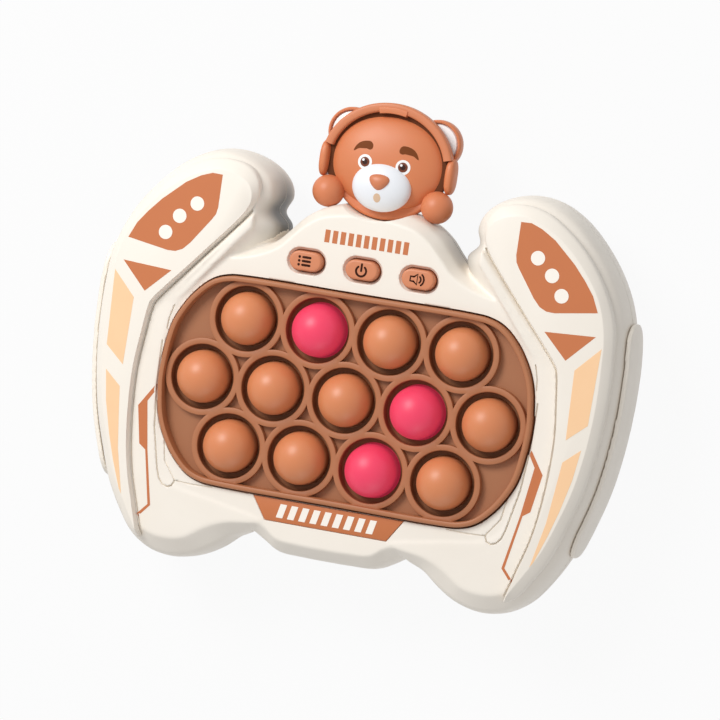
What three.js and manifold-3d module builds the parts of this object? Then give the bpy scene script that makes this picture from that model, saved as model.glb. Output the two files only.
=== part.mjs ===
// Handheld bubble game: two-handled casing, brown pad with thirteen spring keys, toy bear on top.
// Sizes are in millimetres. The game lies on its back: X to the right, Y towards the bear, Z out of the pad.
// Heights are counted from the plane of the lips round the keys, and the middle key is at X = Y = 0.
import * as THREE from 'three';
import { mergeVertices } from 'three/addons/utils/BufferGeometryUtils.js';
import Module from 'manifold-3d';

const wasm = await Module();
wasm.setup();

// Clearances and cuts
const gap = 0.3;
const overrun = 2;
const sharpestMitreShare = 0.6;

// Facet counts
const cupSides = 16;
const keySides = 12;
const hiddenSides = 8;
const headSides = 20;
const headRings = 10;
const smallSides = 12;
const smallRings = 8;
const cornerSteps = 3;
const domeSteps = 4;
const bandSteps = 16;
const outlineSteps = 2;
const hollowSteps = 1;

// Keys and the cups that they stand in
const keyPitch = 23;
const rowStepShare = 0.866;
const rowCounts = [4, 5, 4];
const domeRadius = 8.2;
const domeDrop = 1.2;
const keyTravel = 2.4;
const keyFlange = 1.3;
const keyFlangeThick = 1.2;
const holeClearance = 0.4;
const cupWidth = 1.9;
const lipWidth = 1.7;
const cupDepth = 3;
const litKeys = ['02', '08', '12'];

// Pad frame
const rimSide = 1.9;
const rimEnd = 0.9;
const rimWidth = 1.7;
const rimRise = 1.8;
const padFloorDrop = 1.5;
const frameDepth = 5;
const frameFlange = 2.5;
const frameFlangeThick = 1.5;
const framePostShares = [
  [0, 0.667], [0, -0.667], [1.5, 0.333], [-1.5, 0.333], [1.5, -0.333], [-1.5, -0.333],
];
const padQuarterShares = [
  [1, 0], [0.994, 0.2], [0.97, 0.44], [0.925, 0.63], [0.86, 0.8], [0.78, 0.93], [0.7, 0.985], [0.6, 1],
  [0, 1],
];

// Casing
const gripWidth = 26.3;
const handleReach = 70;
const wall = 2;
const faceStep = 0.3;
const partingDepth = 14.5;
const humpTopShare = 0.86;
const humpBackShare = 0.743;
const centreDepth = 30;
const handleDepth = 38;
const coverRise = 2.8;
const coverSkirt = 1.3;
const railRise = 1.6;
const railChamfer = 0.6;
const sideGripProud = 1.7;
const sideGripTop = 4;
const sideGripBase = 25;
const sideGripUp = 38;
const sideGripDown = 37;
const sideGripCorner = 8;
const sideGripStartShare = 0.8;

// Function buttons
const buttonPitch = 18;
const buttonRowRoom = 1.1;
const buttonLength = 11.2;
const buttonHeight = 6.2;
const buttonProud = 1.6;
const buttonCrown = 0.8;
const buttonFlange = 1.1;
const buttonFlangeThick = 1;
const buttonSocket = 0.6;
const buttonTravel = 1;

// Boards
const boardThick = 1.6;
const boardEnd = 8;
const boardSide = 9.1;
const boardCorner = 8;
const switchSize = 6;
const switchHeight = 1.8;
const lampSize = 1.6;
const lampOffset = 5;
const postRadius = 2;
const smallSwitchHeight = 0.9;
const smallSwitchSize = 4;
const buttonBoardHalfWidth = 4.5;
const buttonPostShares = [-0.5, 0.5];
const buttonBoardThick = 1.4;

// Battery bay, cells and contacts
const cellRadius = 5.25;
const cellLength = 44.5;
const cellPitch = 11.6;
const cellNub = 1;
const cellNubRadius = 1.9;
const cellCount = 3;
const bayEnd = 3.75;
const bayY = -6;
const baySide = 1.5;
const bayWall = 3;
const bayRoof = 1.5;
const bayRoom = 2.3;
const cellLift = 0.6;
const doorThick = 1.6;
const doorLip = 2;
const doorTab = 9;
const contactThick = 0.5;
const contactHeight = 8;
const springRadius = 3;

// Screws
const screwHeadRadius = 2.4;
const screwHeadThick = 1.4;
const screwShankRadius = 0.9;
const screwLength = 8;
const caseScrewBite = 8;
const bossRadius = 5;
const screwPocketDepth = 7;

// Speaker
const speakerRadius = 11.5;
const speakerThick = 5;
const speakerPlaceShare = 0.538;
const speakerRingThick = 1.2;
const speakerEar = 4;
const slotWidth = 1.6;
const slotCount = 5;

// Label plate
const labelRise = 0.3;
const labelThick = 0.5;
const labelRoom = 0.8;
const labelHeight = 6.9;
const labelTopHalf = 24.2;
const labelBaseHalf = 19.6;

// Bear
const headHalfWidth = 18;
const headHalfHeight = 16.5;
const headHalfDepth = 8.5;
const headSink = 4.3;
const headZ = -13;
const headWall = 1.8;
const tongueWidth = 12;
const tongueThick = 3;
const tongueReach = 8;
const muzzleHalf = [9.4, 7.2, 4.5];
const muzzleDrop = 6.9;
const muzzleOut = 5.5;
const noseHalf = [3.1, 2.2, 1.8];
const noseLift = 1.7;
const noseSink = 0.6;
const earRadius = 7.6;
const earThick = 4.5;
const earX = 13.8;
const earUp = 8.9;
const earRim = 1.4;
const earRecess = 2;
const bandThick = 2.2;
const bandWidth = 4.2;
const bandPadHalf = [5.5, 1.4, 2.1];
const bandEndShare = 0.12;
const cupHalf = [3, 6.8, 3.6];
const pawRadius = 5;
const pawX = 17.5;
const pawDrop = 10.1;

// Derived sizes
const rowStep = keyPitch * rowStepShare;
const holeRadius = domeRadius + holeClearance;
const cupRadius = domeRadius + cupWidth;
const lipRadius = cupRadius + lipWidth;
const middleRow = (rowCounts.length - 1) / 2;
const padHalfWidth = (rowCounts[middleRow] - 1) / 2 * keyPitch + lipRadius + rimSide;
const padHalfHeight = rowStep * middleRow + lipRadius + rimEnd;
const halfWidth = padHalfWidth + gripWidth;
const buttonY = padHalfHeight + frameFlange + buttonRowRoom + buttonFlange + buttonHeight / 2;
const buttonXs = [-buttonPitch, 0, buttonPitch];
const buttonSwitchZ = -wall - gap - buttonFlangeThick - buttonTravel - gap;
const buttonBoardZ = buttonSwitchZ - smallSwitchHeight;
const labelSeatZ = labelRise - labelThick - gap;
const headY = handleReach * humpTopShare + headHalfHeight - headSink;
const headCentre = [0, headY, headZ];
const headHalf = [headHalfWidth, headHalfHeight, headHalfDepth];
const muzzleCentre = [0, headY - muzzleDrop, headZ + muzzleOut];
const noseCentre = [0, muzzleCentre[1] + noseLift, muzzleCentre[2] + muzzleHalf[2] - noseSink];
const earFrontZ = headZ - gap - gap;
const earY = headY + earUp;
const boardHalfLength = (rowCounts[middleRow] - 1) / 2 * keyPitch + boardEnd;
const boardHalfWidth = middleRow * rowStep + boardSide;
const boardZ = -frameDepth - gap - keyFlangeThick - keyTravel - gap - switchHeight;
const bayRoofZ = boardZ - boardThick - bayRoom - bayRoof;
const cellZ = bayRoofZ - cellLift - cellRadius;
const doorSeatZ = cellZ - cellRadius - cellLift;
const doorFaceZ = doorSeatZ - gap - doorThick;
const backZ = Math.min(-centreDepth, doorFaceZ);
const bayHalfLength = cellLength / 2 + bayEnd;
const bayHalfWidth = (cellCount - 1) / 2 * cellPitch + cellRadius + baySide;
const doorTabX = bayHalfLength + doorLip + doorTab / 2;
const bayTopY = bayY + bayHalfWidth + bayWall;
const farAway = halfWidth + handleReach + handleDepth;
const speakerY = bayTopY + (handleReach * humpBackShare - wall - bayTopY) * speakerPlaceShare;

// Outlines of the right handle, clockwise from its inner end, as shares of the half width and of the reach:
// the widest line, the edge of the front face, and the spine that the back flat follows.
const handleWallShares = [
  [0.356, 0.833], [0.374, 0.917], [0.444, 0.984], [0.541, 1.009], [0.634, 0.997], [0.727, 0.94],
  [0.82, 0.834], [0.901, 0.7], [0.953, 0.557], [0.977, 0.386], [0.98, 0.171], [0.967, -0.043],
  [0.942, -0.229], [0.906, -0.386], [0.863, -0.536], [0.809, -0.657], [0.747, -0.757], [0.669, -0.817],
  [0.581, -0.834], [0.494, -0.814], [0.419, -0.764], [0.349, -0.7], [0.512, -0.514], [0.581, -0.257],
  [0.605, 0], [0.581, 0.257], [0.488, 0.486], [0.395, 0.583], [0.36, 0.679], [0.399, 0.76],
];
const handleFaceShares = [
  [0.436, 0.821], [0.459, 0.879], [0.506, 0.909], [0.567, 0.917], [0.64, 0.891], [0.721, 0.831],
  [0.802, 0.729], [0.867, 0.607], [0.905, 0.464], [0.914, 0.314], [0.914, 0.129], [0.9, -0.057],
  [0.876, -0.221], [0.84, -0.364], [0.798, -0.5], [0.749, -0.607], [0.703, -0.686], [0.645, -0.723],
  [0.581, -0.729], [0.523, -0.714], [0.465, -0.669], [0.413, -0.617], [0.465, -0.543], [0.628, -0.477],
  [0.68, -0.257], [0.701, 0.057], [0.674, 0.293], [0.506, 0.55], [0.419, 0.686], [0.428, 0.76],
];
const handleSpineShares = [
  [0.516, 0.8], [0.523, 0.814], [0.547, 0.814], [0.581, 0.814], [0.64, 0.786], [0.698, 0.714],
  [0.744, 0.643], [0.779, 0.543], [0.808, 0.429], [0.82, 0.286], [0.823, 0.114], [0.814, -0.057],
  [0.797, -0.2], [0.767, -0.329], [0.727, -0.443], [0.68, -0.529], [0.64, -0.571], [0.605, -0.6],
  [0.581, -0.607], [0.558, -0.586], [0.535, -0.543], [0.535, -0.514], [0.581, -0.457], [0.721, -0.229],
  [0.767, 0], [0.767, 0.229], [0.698, 0.429], [0.628, 0.543], [0.581, 0.629], [0.535, 0.743],
];
const spineShare = 0.62;

// Outlines of the casing's centre, right half, clockwise from the top: widest line, face edge, back edge.
const centreWallShares = [
  [0, humpTopShare], [0.105, 0.854], [0.192, 0.823], [0.259, 0.769], [0.309, 0.7], [0.366, 0.633],
  [0.465, 0.593], [0.651, 0.514], [0.814, 0.314], [0.86, 0], [0.814, -0.286], [0.674, -0.543],
  [0.488, -0.657], [0.384, -0.643], [0.297, -0.647], [0.238, -0.689], [0.18, -0.726], [0.093, -0.733],
  [0, -0.734],
];
const centreFaceShares = [
  [0, 0.807], [0.105, 0.797], [0.174, 0.777], [0.233, 0.729], [0.273, 0.68], [0.32, 0.619],
  [0.395, 0.569], [0.628, 0.486], [0.779, 0.3], [0.814, 0], [0.779, -0.257], [0.651, -0.486],
  [0.488, -0.6], [0.384, -0.594], [0.302, -0.591], [0.23, -0.606], [0.177, -0.651], [0.093, -0.661],
  [0, -0.663],
];
const centreBackShares = [
  [0, humpBackShare], [0.093, 0.736], [0.163, 0.714], [0.209, 0.657], [0.256, 0.586], [0.326, 0.514],
  [0.419, 0.471], [0.512, 0.429], [0.581, 0.286], [0.628, 0], [0.581, -0.257], [0.488, -0.4],
  [0.419, -0.471], [0.349, -0.5], [0.279, -0.514], [0.209, -0.543], [0.151, -0.571], [0.07, -0.579],
  [0, -0.579],
];

// Outlines of the right handle's cover, clockwise from the inner edge's top: skirt and top edge.
const coverBaseShares = [
  [0.433, 0.76], [0.393, 0.814], [0.402, 0.893], [0.46, 0.951], [0.547, 0.971], [0.635, 0.949],
  [0.722, 0.886], [0.812, 0.783], [0.885, 0.654], [0.933, 0.511], [0.948, 0.35], [0.949, 0.15],
  [0.935, -0.05], [0.909, -0.226], [0.873, -0.374], [0.831, -0.517], [0.779, -0.631], [0.726, -0.721],
  [0.686, -0.751], [0.709, -0.636], [0.747, -0.479], [0.767, -0.35], [0.781, -0.171], [0.783, 0],
  [0.772, 0.136], [0.755, 0.279], [0.747, 0.3], [0.593, 0.527],
];
const coverTopShares = [
  [0.437, 0.769], [0.433, 0.82], [0.459, 0.877], [0.503, 0.909], [0.567, 0.92], [0.64, 0.889],
  [0.721, 0.829], [0.808, 0.723], [0.874, 0.6], [0.906, 0.464], [0.914, 0.314], [0.914, 0.129],
  [0.9, -0.057], [0.876, -0.221], [0.84, -0.364], [0.798, -0.5], [0.749, -0.607], [0.712, -0.683],
  [0.698, -0.717], [0.72, -0.621], [0.755, -0.471], [0.774, -0.35], [0.788, -0.171], [0.79, 0],
  [0.779, 0.136], [0.763, 0.283], [0.755, 0.306], [0.599, 0.533],
];
const railShares = [
  [0.419, 0.729], [0.422, 0.746], [0.433, 0.74], [0.586, 0.519], [0.738, 0.299], [0.728, 0.25],
  [0.679, 0.29], [0.593, 0.421], [0.509, 0.549], [0.419, 0.684],
];
const caseScrewShares = [[0.581, -0.607], [0.82, 0.314], [0.628, 0.786]];

// Levels of the casing's rings: how far in towards the face or back edge, and how deep, from 0 to 1
const frontLevelShares = [[1, 0], [0.5, 0.1], [0.2, 0.38], [0, 1]];
const backLevelShares = [[0.16, 0.45], [0.55, 0.86], [1, 1]];
const innerFrontShares = [[1, 0], [0.22, 0.35], [0, 1]];
const innerBackShares = [[0.38, 0.74], [1, 1]];
const coverLevelShares = [[0, 0], [0.2, 0.55], [1, 1]];

// Solids from geometries, and back
function solid(geometry) {
  const bare = geometry.index ? geometry.clone() : mergeVertices(geometry);
  bare.deleteAttribute('normal');
  bare.deleteAttribute('uv');
  const merged = mergeVertices(bare);
  return new wasm.Manifold(new wasm.Mesh({
    numProp: 3,
    vertProperties: new Float32Array(merged.attributes.position.array),
    triVerts: new Uint32Array(merged.index.array),
  }));
}

function geometryOf(body) {
  const mesh = body.getMesh();
  const geometry = new THREE.BufferGeometry();
  const places = new Float32Array(mesh.vertProperties);
  geometry.setAttribute('position', new THREE.BufferAttribute(places, mesh.numProp));
  geometry.setIndex(new THREE.BufferAttribute(new Uint32Array(mesh.triVerts), 1));
  const flat = geometry.toNonIndexed();
  flat.computeVertexNormals();
  return flat;
}

function join(...bodies) {
  return bodies.reduce((all, body) => all.add(body));
}

function cut(body, ...tools) {
  return tools.reduce((left, tool) => left.subtract(tool), body);
}

function box(low, high) {
  const size = high.map((value, axis) => value - low[axis]);
  const middle = high.map((value, axis) => (value + low[axis]) / 2);
  return solid(new THREE.BoxGeometry(...size).translate(...middle));
}

function cylinder(radius, x, y, lowZ, highZ, sides = hiddenSides) {
  const geometry = new THREE.CylinderGeometry(radius, radius, highZ - lowZ, sides);
  return solid(geometry.rotateX(Math.PI / 2).translate(x, y, (highZ + lowZ) / 2));
}

function ellipsoid([a, b, c], [x, y, z], grow = 0, sides = headSides, rings = headRings) {
  const geometry = new THREE.SphereGeometry(1, sides, rings);
  return solid(geometry.scale(a + grow, b + grow, c + grow).translate(x, y, z));
}

// Closed solid through rings of equal count, highest ring first
function loft(rings) {
  const count = rings[0].points.length;
  const vertices = [];
  const faces = [];
  for (const ring of rings) {
    const clockwise = THREE.ShapeUtils.isClockWise(rings[0].points);
    const points = clockwise ? [...ring.points].reverse() : ring.points;
    for (const point of points) vertices.push(point.x, point.y, ring.z);
  }
  for (let level = 0; level < rings.length - 1; level++) {
    for (let side = 0; side < count; side++) {
      const next = (side + 1) % count;
      const [a, b] = [level * count + side, level * count + next];
      const [d, c] = [a + count, b + count];
      faces.push(a, d, c, a, c, b);
    }
  }
  const last = (rings.length - 1) * count;
  const pointAt = (index) => new THREE.Vector2(vertices[3 * index], vertices[3 * index + 1]);
  const lid = (start) => {
    const contour = Array.from({ length: count }, (_, index) => pointAt(start + index));
    return THREE.ShapeUtils.triangulateShape(contour, []);
  };
  for (const [a, b, c] of lid(0)) faces.push(a, b, c);
  for (const [a, b, c] of lid(last)) faces.push(last + a, last + c, last + b);
  const geometry = new THREE.BufferGeometry();
  geometry.setAttribute('position', new THREE.Float32BufferAttribute(vertices, 3));
  geometry.setIndex(faces);
  return solid(geometry);
}

function prism(points, lowZ, highZ) {
  return loft([{ points, z: highZ }, { points, z: lowZ }]);
}

// Outlines
function placed(shares, side = 1) {
  return shares.map(([x, y]) => new THREE.Vector2(side * x * halfWidth, y * handleReach));
}

function mirrored(shares) {
  const left = shares.slice(1, -1).map(([x, y]) => [-x, y]).reverse();
  return [...shares, ...left];
}

function smooth(points, steps) {
  const places = points.map((point) => new THREE.Vector3(point.x, point.y, 0));
  const curve = new THREE.CatmullRomCurve3(places, true);
  const count = points.length * steps;
  return Array.from({ length: count }, (_, index) => {
    const at = curve.getPoint(index / count);
    return new THREE.Vector2(at.x, at.y);
  });
}

function mixed(from, to, share) {
  return from.map((point, index) => point.clone().lerp(to[index], share));
}

// Offset of a closed outline, mitred at its corners
function grown(points, distance) {
  const outward = THREE.ShapeUtils.isClockWise(points) ? -distance : distance;
  const count = points.length;
  const normalOf = (from, to) => {
    const along = to.clone().sub(from).normalize();
    return new THREE.Vector2(along.y, -along.x);
  };
  return points.map((point, index) => {
    const before = normalOf(points[(index + count - 1) % count], point);
    const after = normalOf(point, points[(index + 1) % count]);
    const mitre = outward / Math.max(1 + before.dot(after), sharpestMitreShare);
    return point.clone().addScaledVector(before.add(after), mitre);
  });
}

function padOutline(grow) {
  const quarter = padQuarterShares.slice(0, -1);
  const back = [...padQuarterShares].slice(1).reverse().map(([x, y]) => [-x, y]);
  const half = [...quarter, ...back];
  const shares = [...half, ...half.map(([x, y]) => [-x, -y])];
  return grown(shares.map(([x, y]) => new THREE.Vector2(x * padHalfWidth, y * padHalfHeight)), grow);
}

function roundedBox(halfX, halfY, corner, x = 0, y = 0) {
  const points = [];
  const corners = [[1, 1, 0], [-1, 1, 1], [-1, -1, 2], [1, -1, 3]];
  for (const [signX, signY, quarter] of corners) {
    for (let step = 0; step <= cornerSteps; step++) {
      const angle = (quarter + step / cornerSteps) * Math.PI / 2;
      const middleX = x + signX * (halfX - corner);
      const middleY = y + signY * (halfY - corner);
      points.push(new THREE.Vector2(middleX + corner * Math.cos(angle), middleY + corner * Math.sin(angle)));
    }
  }
  return points;
}

// Casing forms: a stack of rings from the face edge out to the widest line and in again to the back
function stacked(wallLine, faceLine, backLine, faceZ, backZ, frontShares, backShares, grow) {
  const partingZ = -partingDepth;
  const top = faceZ + grow;
  const bottom = backZ - grow;
  const front = frontShares.map(([share, depth]) => (
    { points: grown(mixed(wallLine, faceLine, share), grow), z: top + (partingZ - top) * depth }));
  const back = backShares.map(([share, depth]) => (
    { points: grown(mixed(wallLine, backLine, share), grow), z: partingZ + (bottom - partingZ) * depth }));
  return loft([...front, ...back]);
}

function handleForm(side, grow = 0, inner = false) {
  const steps = inner ? hollowSteps : outlineSteps;
  const wallLine = smooth(placed(handleWallShares, side), steps);
  const faceLine = smooth(placed(handleFaceShares, side), steps);
  const spineLine = smooth(placed(handleSpineShares, side), steps);
  const backLine = mixed(wallLine, spineLine, spineShare);
  const [frontShares, backShares] = inner
    ? [innerFrontShares, innerBackShares] : [frontLevelShares, backLevelShares];
  return stacked(wallLine, faceLine, backLine, faceStep, -handleDepth, frontShares, backShares, grow);
}

function centreForm(grow = 0, inner = false) {
  const steps = inner ? hollowSteps : outlineSteps;
  const lines = [centreWallShares, centreFaceShares, centreBackShares]
    .map((shares) => smooth(placed(mirrored(shares)), steps));
  const [frontShares, backShares] = inner
    ? [innerFrontShares, innerBackShares] : [frontLevelShares, backLevelShares];
  return stacked(...lines, 0, -centreDepth, frontShares, backShares, grow);
}

function casingForm(grow = 0, inner = false) {
  return join(centreForm(grow, inner), handleForm(1, grow, inner), handleForm(-1, grow, inner));
}

// A point of the head's outline as seen from the front, or of a larger one round it
function headEdge(angle, grow) {
  const [halfX, halfY] = [headHalfWidth + grow, headHalfHeight + grow];
  return new THREE.Vector2(halfX * Math.cos(angle), headY + halfY * Math.sin(angle));
}

function headSeat(grow) {
  const angles = Array.from({ length: headSides }, (_, index) => index / headSides * 2 * Math.PI);
  const footprint = angles.map((angle) => headEdge(angle, grow));
  return join(prism(footprint, headZ, coverRise + overrun), ellipsoid(headHalf, headCentre, grow));
}

function tongueBox(grow) {
  const top = headY - headHalfHeight + headWall;
  const halfThick = tongueThick / 2 + grow;
  const middleZ = headZ - gap - tongueThick;
  return box([-tongueWidth / 2 - grow, top - tongueReach - grow, middleZ - halfThick],
    [tongueWidth / 2 + grow, top, middleZ + halfThick]);
}

// Screw places
function caseScrews() {
  return [1, -1].flatMap((side) => placed(caseScrewShares, side));
}

function slabAbove(z) {
  return box([-farAway, -farAway, z], [farAway, farAway, farAway]);
}

function slabBelow(z) {
  return box([-farAway, -farAway, -farAway], [farAway, farAway, z]);
}

function rail(side) {
  const base = placed(railShares, side);
  const crown = { points: grown(base, -railChamfer), z: railRise };
  return loft([crown, { points: base, z: railRise - railChamfer }, { points: base, z: -wall / 2 }]);
}

// Outline of the function button at x, or of its socket
function pill(x, grow, lowZ, highZ) {
  const [halfX, halfY] = [buttonLength / 2 + grow, buttonHeight / 2 + grow];
  return prism(roundedBox(halfX, halfY, halfY - gap / 2, x, buttonY), lowZ, highZ);
}

function casingShell() {
  const outer = cut(casingForm(), headSeat(gap));
  const hollow = cut(casingForm(-wall, true), headSeat(gap + wall));
  return cut(outer, hollow);
}

function labelOutline(grow) {
  const topY = -padHalfHeight - labelRoom;
  const corners = [[-labelTopHalf, topY], [-labelBaseHalf, topY - labelHeight],
    [labelBaseHalf, topY - labelHeight], [labelTopHalf, topY]];
  return grown(corners.map(([x, y]) => new THREE.Vector2(x, y)), grow);
}

function frontShell(shell) {
  const half = shell.intersect(slabAbove(-partingDepth));
  const bosses = caseScrews().map((at) => cylinder(bossRadius, at.x, at.y, -partingDepth, -wall / 2));
  const holeTop = -partingDepth + caseScrewBite + gap;
  const holes = caseScrews().map((at) => cylinder(screwShankRadius + gap, at.x, at.y, -handleDepth, holeTop));
  const posts = buttonPostShares.map((share) => (
    cylinder(postRadius, share * buttonPitch, buttonY, buttonBoardZ + gap, -wall / 2)));
  const body = join(half, rail(1), rail(-1), ...bosses, ...posts);
  const opening = prism(padOutline(gap), -frameDepth, coverRise);
  const sockets = buttonXs.map((x) => pill(x, buttonSocket, -frameDepth, coverRise));
  const labelSeat = prism(labelOutline(gap), labelSeatZ, coverRise);
  return cut(body, opening, ...sockets, labelSeat, ...holes, tongueBox(gap));
}

function doorPlate(grow, lowZ, highZ) {
  const plate = box([-bayHalfLength - doorLip - grow, bayY - bayHalfWidth - doorLip - grow, lowZ],
    [bayHalfLength + doorLip + grow, bayY + bayHalfWidth + doorLip + grow, highZ]);
  const tab = box([0, bayY - doorTab / 2 - grow, lowZ],
    [doorTabX + doorTab / 2 + grow, bayY + doorTab / 2 + grow, highZ]);
  return join(plate, tab);
}

function rearShell(shell) {
  const half = shell.intersect(slabBelow(-partingDepth - gap));
  const bayOuter = box([-bayHalfLength - bayWall, bayY - bayHalfWidth - bayWall, backZ],
    [bayHalfLength + bayWall, bayTopY, bayRoofZ + bayRoof]);
  const bayInner = box([-bayHalfLength, bayY - bayHalfWidth, backZ - overrun],
    [bayHalfLength, bayY + bayHalfWidth, bayRoofZ]);
  const doorBoss = cylinder(bossRadius, doorTabX, bayY, backZ, doorSeatZ + screwLength + wall);
  const doorHole = cylinder(screwShankRadius + gap, doorTabX, bayY, backZ - overrun, doorSeatZ + screwLength);
  const bosses = caseScrews().map((at) => (
    cylinder(bossRadius, at.x, at.y, -handleDepth + wall / 2, -partingDepth - gap)));
  const holes = caseScrews().map((at) => (
    cylinder(screwShankRadius + gap, at.x, at.y, -handleDepth - overrun, -partingDepth + overrun)));
  const pockets = caseScrews().map((at) => (
    cylinder(screwHeadRadius + gap, at.x, at.y, -handleDepth - overrun, -handleDepth + screwPocketDepth)));
  const speakerPosts = [-1, 1].map((side) => (
    cylinder(postRadius, side * (speakerRadius + speakerEar), speakerY, -centreDepth + wall / 2,
      -centreDepth + wall + gap + speakerThick)));
  const slots = Array.from({ length: slotCount }, (_, index) => {
    const y = speakerY + (index - (slotCount - 1) / 2) * 2 * slotWidth;
    return box([-speakerRadius / 2, y - slotWidth / 2, -centreDepth - overrun],
      [speakerRadius / 2, y + slotWidth / 2, -centreDepth + wall + overrun]);
  });
  const body = join(half, bayOuter, doorBoss, ...bosses, ...speakerPosts);
  const doorSeat = doorPlate(gap, backZ - overrun, doorSeatZ);
  return cut(body, bayInner, doorSeat, doorHole, ...holes, ...pockets, ...slots, tongueBox(gap));
}

function handleCover(side) {
  const baseLine = smooth(placed(coverBaseShares, side), outlineSteps);
  const topLine = smooth(placed(coverTopShares, side), outlineSteps);
  const levels = coverLevelShares.map(([share, rise]) => (
    { points: mixed(baseLine, topLine, share), z: -coverSkirt + (coverRise + coverSkirt) * rise }));
  return cut(loft(levels.reverse()), handleForm(side, gap), centreForm(gap));
}

function sideGrip(side) {
  const skin = cut(handleForm(side, sideGripProud), handleForm(side, gap));
  const halfHeight = (sideGripUp + sideGripDown) / 2;
  const halfDeep = (sideGripBase - sideGripTop) / 2;
  const middleY = (sideGripUp - sideGripDown) / 2;
  const middleZ = -(sideGripBase + sideGripTop) / 2;
  const outline = roundedBox(halfHeight, halfDeep, sideGripCorner, middleY, middleZ);
  const shape = new THREE.Shape(outline);
  const slab = new THREE.ExtrudeGeometry(shape, { depth: halfWidth, bevelEnabled: false });
  const window = new THREE.Matrix4().makeBasis(new THREE.Vector3(0, 1, 0), new THREE.Vector3(0, 0, 1),
    new THREE.Vector3(1, 0, 0));
  const start = halfWidth * sideGripStartShare;
  slab.applyMatrix4(window).translate(side > 0 ? start : -start - halfWidth, 0, 0);
  return skin.intersect(solid(slab));
}

// Key places, row by row from the top left
function keyPlaces() {
  return rowCounts.flatMap((count, row) => Array.from({ length: count }, (_, column) => (
    new THREE.Vector2((column - (count - 1) / 2) * keyPitch, (middleRow - row) * rowStep))));
}

function bubbleFrame() {
  const slab = prism(padOutline(0), -frameDepth, rimRise);
  const flange = prism(padOutline(frameFlange), -wall - gap - frameFlangeThick, -wall - gap);
  const floor = prism(padOutline(-rimWidth), -padFloorDrop, rimRise + overrun);
  const rounds = (radius, lowZ, highZ, sides) => (
    keyPlaces().map((at) => cylinder(radius, at.x, at.y, lowZ, highZ, sides)));
  const lips = rounds(lipRadius, -padFloorDrop - overrun / 2, 0, cupSides);
  const cups = rounds(cupRadius, -cupDepth, rimRise + overrun, cupSides);
  const holes = rounds(holeRadius, -frameDepth - overrun, 0, keySides);
  const posts = framePostShares.map(([x, y]) => (
    cylinder(postRadius, x * keyPitch, y * rowStep, boardZ + gap, -frameDepth + overrun)));
  return cut(join(cut(join(slab, flange), floor), ...lips, ...posts), ...cups, ...holes);
}

function bubbleKey(at) {
  const skirtTop = -domeDrop;
  const flangeTop = -frameDepth - gap;
  const flangeRadius = holeRadius + keyFlange;
  const baseZ = flangeTop - keyFlangeThick;
  const skirt = [[0, baseZ], [flangeRadius, baseZ], [flangeRadius, flangeTop], [domeRadius, flangeTop]];
  const profile = skirt.map(([radius, z]) => new THREE.Vector2(radius, z));
  for (let step = 0; step < domeSteps; step++) {
    const angle = step / domeSteps * Math.PI / 2;
    profile.push(new THREE.Vector2(domeRadius * Math.cos(angle), skirtTop + domeRadius * Math.sin(angle)));
  }
  profile.push(new THREE.Vector2(0, skirtTop + domeRadius));
  const turned = new THREE.LatheGeometry(profile, keySides).rotateX(Math.PI / 2);
  return solid(turned.translate(at.x, at.y, 0));
}

function gameBoard() {
  const plate = prism(roundedBox(boardHalfLength, boardHalfWidth, boardCorner), boardZ - boardThick, boardZ);
  const parts = keyPlaces().flatMap((at) => {
    const base = boardZ - boardThick / 2;
    const half = switchSize / 2;
    const lampHalf = lampSize / 2;
    const lampX = at.x + lampOffset;
    return [
      box([at.x - half, at.y - half, base], [at.x + half, at.y + half, boardZ + switchHeight]),
      box([lampX - lampHalf, at.y - lampHalf, base], [lampX + lampHalf, at.y + lampHalf, boardZ + lampHalf]),
    ];
  });
  return join(plate, ...parts);
}

function functionButton(x) {
  const [halfLength, halfHeight] = [buttonLength / 2, buttonHeight / 2];
  const outline = (grow) => (
    roundedBox(halfLength + grow, halfHeight + grow, halfHeight - gap + grow, x, buttonY));
  const flangeTop = -wall - gap;
  const flange = outline(buttonFlange);
  const side = outline(0);
  const crown = outline(-buttonCrown);
  const rings = [
    { points: crown, z: buttonProud },
    { points: side, z: buttonProud - buttonCrown },
    { points: side, z: flangeTop - buttonFlangeThick / 2 },
  ];
  return join(loft(rings), prism(flange, flangeTop - buttonFlangeThick, flangeTop));
}

function buttonBoard() {
  const halfLength = buttonPitch + buttonLength / 2;
  const plate = box([-halfLength, buttonY - buttonBoardHalfWidth, buttonBoardZ - buttonBoardThick],
    [halfLength, buttonY + buttonBoardHalfWidth, buttonBoardZ]);
  const half = smallSwitchSize / 2;
  const base = buttonBoardZ - buttonBoardThick / 2;
  const switches = buttonXs.map((x) => (
    box([x - half, buttonY - half, base], [x + half, buttonY + half, buttonSwitchZ])));
  const room = cut(casingForm(-wall - gap, true), headSeat(gap + wall + gap));
  return join(plate, ...switches).intersect(room);
}

function batteryDoor() {
  const plate = doorPlate(0, doorFaceZ, doorFaceZ + doorThick);
  const hole = cylinder(screwShankRadius + gap, doorTabX, bayY, doorFaceZ - overrun, doorSeatZ);
  const pocketTop = doorFaceZ + doorThick / 2;
  const pocket = cylinder(screwHeadRadius + gap, doorTabX, bayY, doorFaceZ - overrun, pocketTop);
  return cut(plate, hole, pocket);
}

function screw(x, y, headZ, headThick, length) {
  const head = cylinder(screwHeadRadius, x, y, headZ, headZ + headThick);
  return join(head, cylinder(screwShankRadius, x, y, headZ + headThick / 2, headZ + length));
}

function cellY(index) {
  return bayY + (index - (cellCount - 1) / 2) * cellPitch;
}

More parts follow.
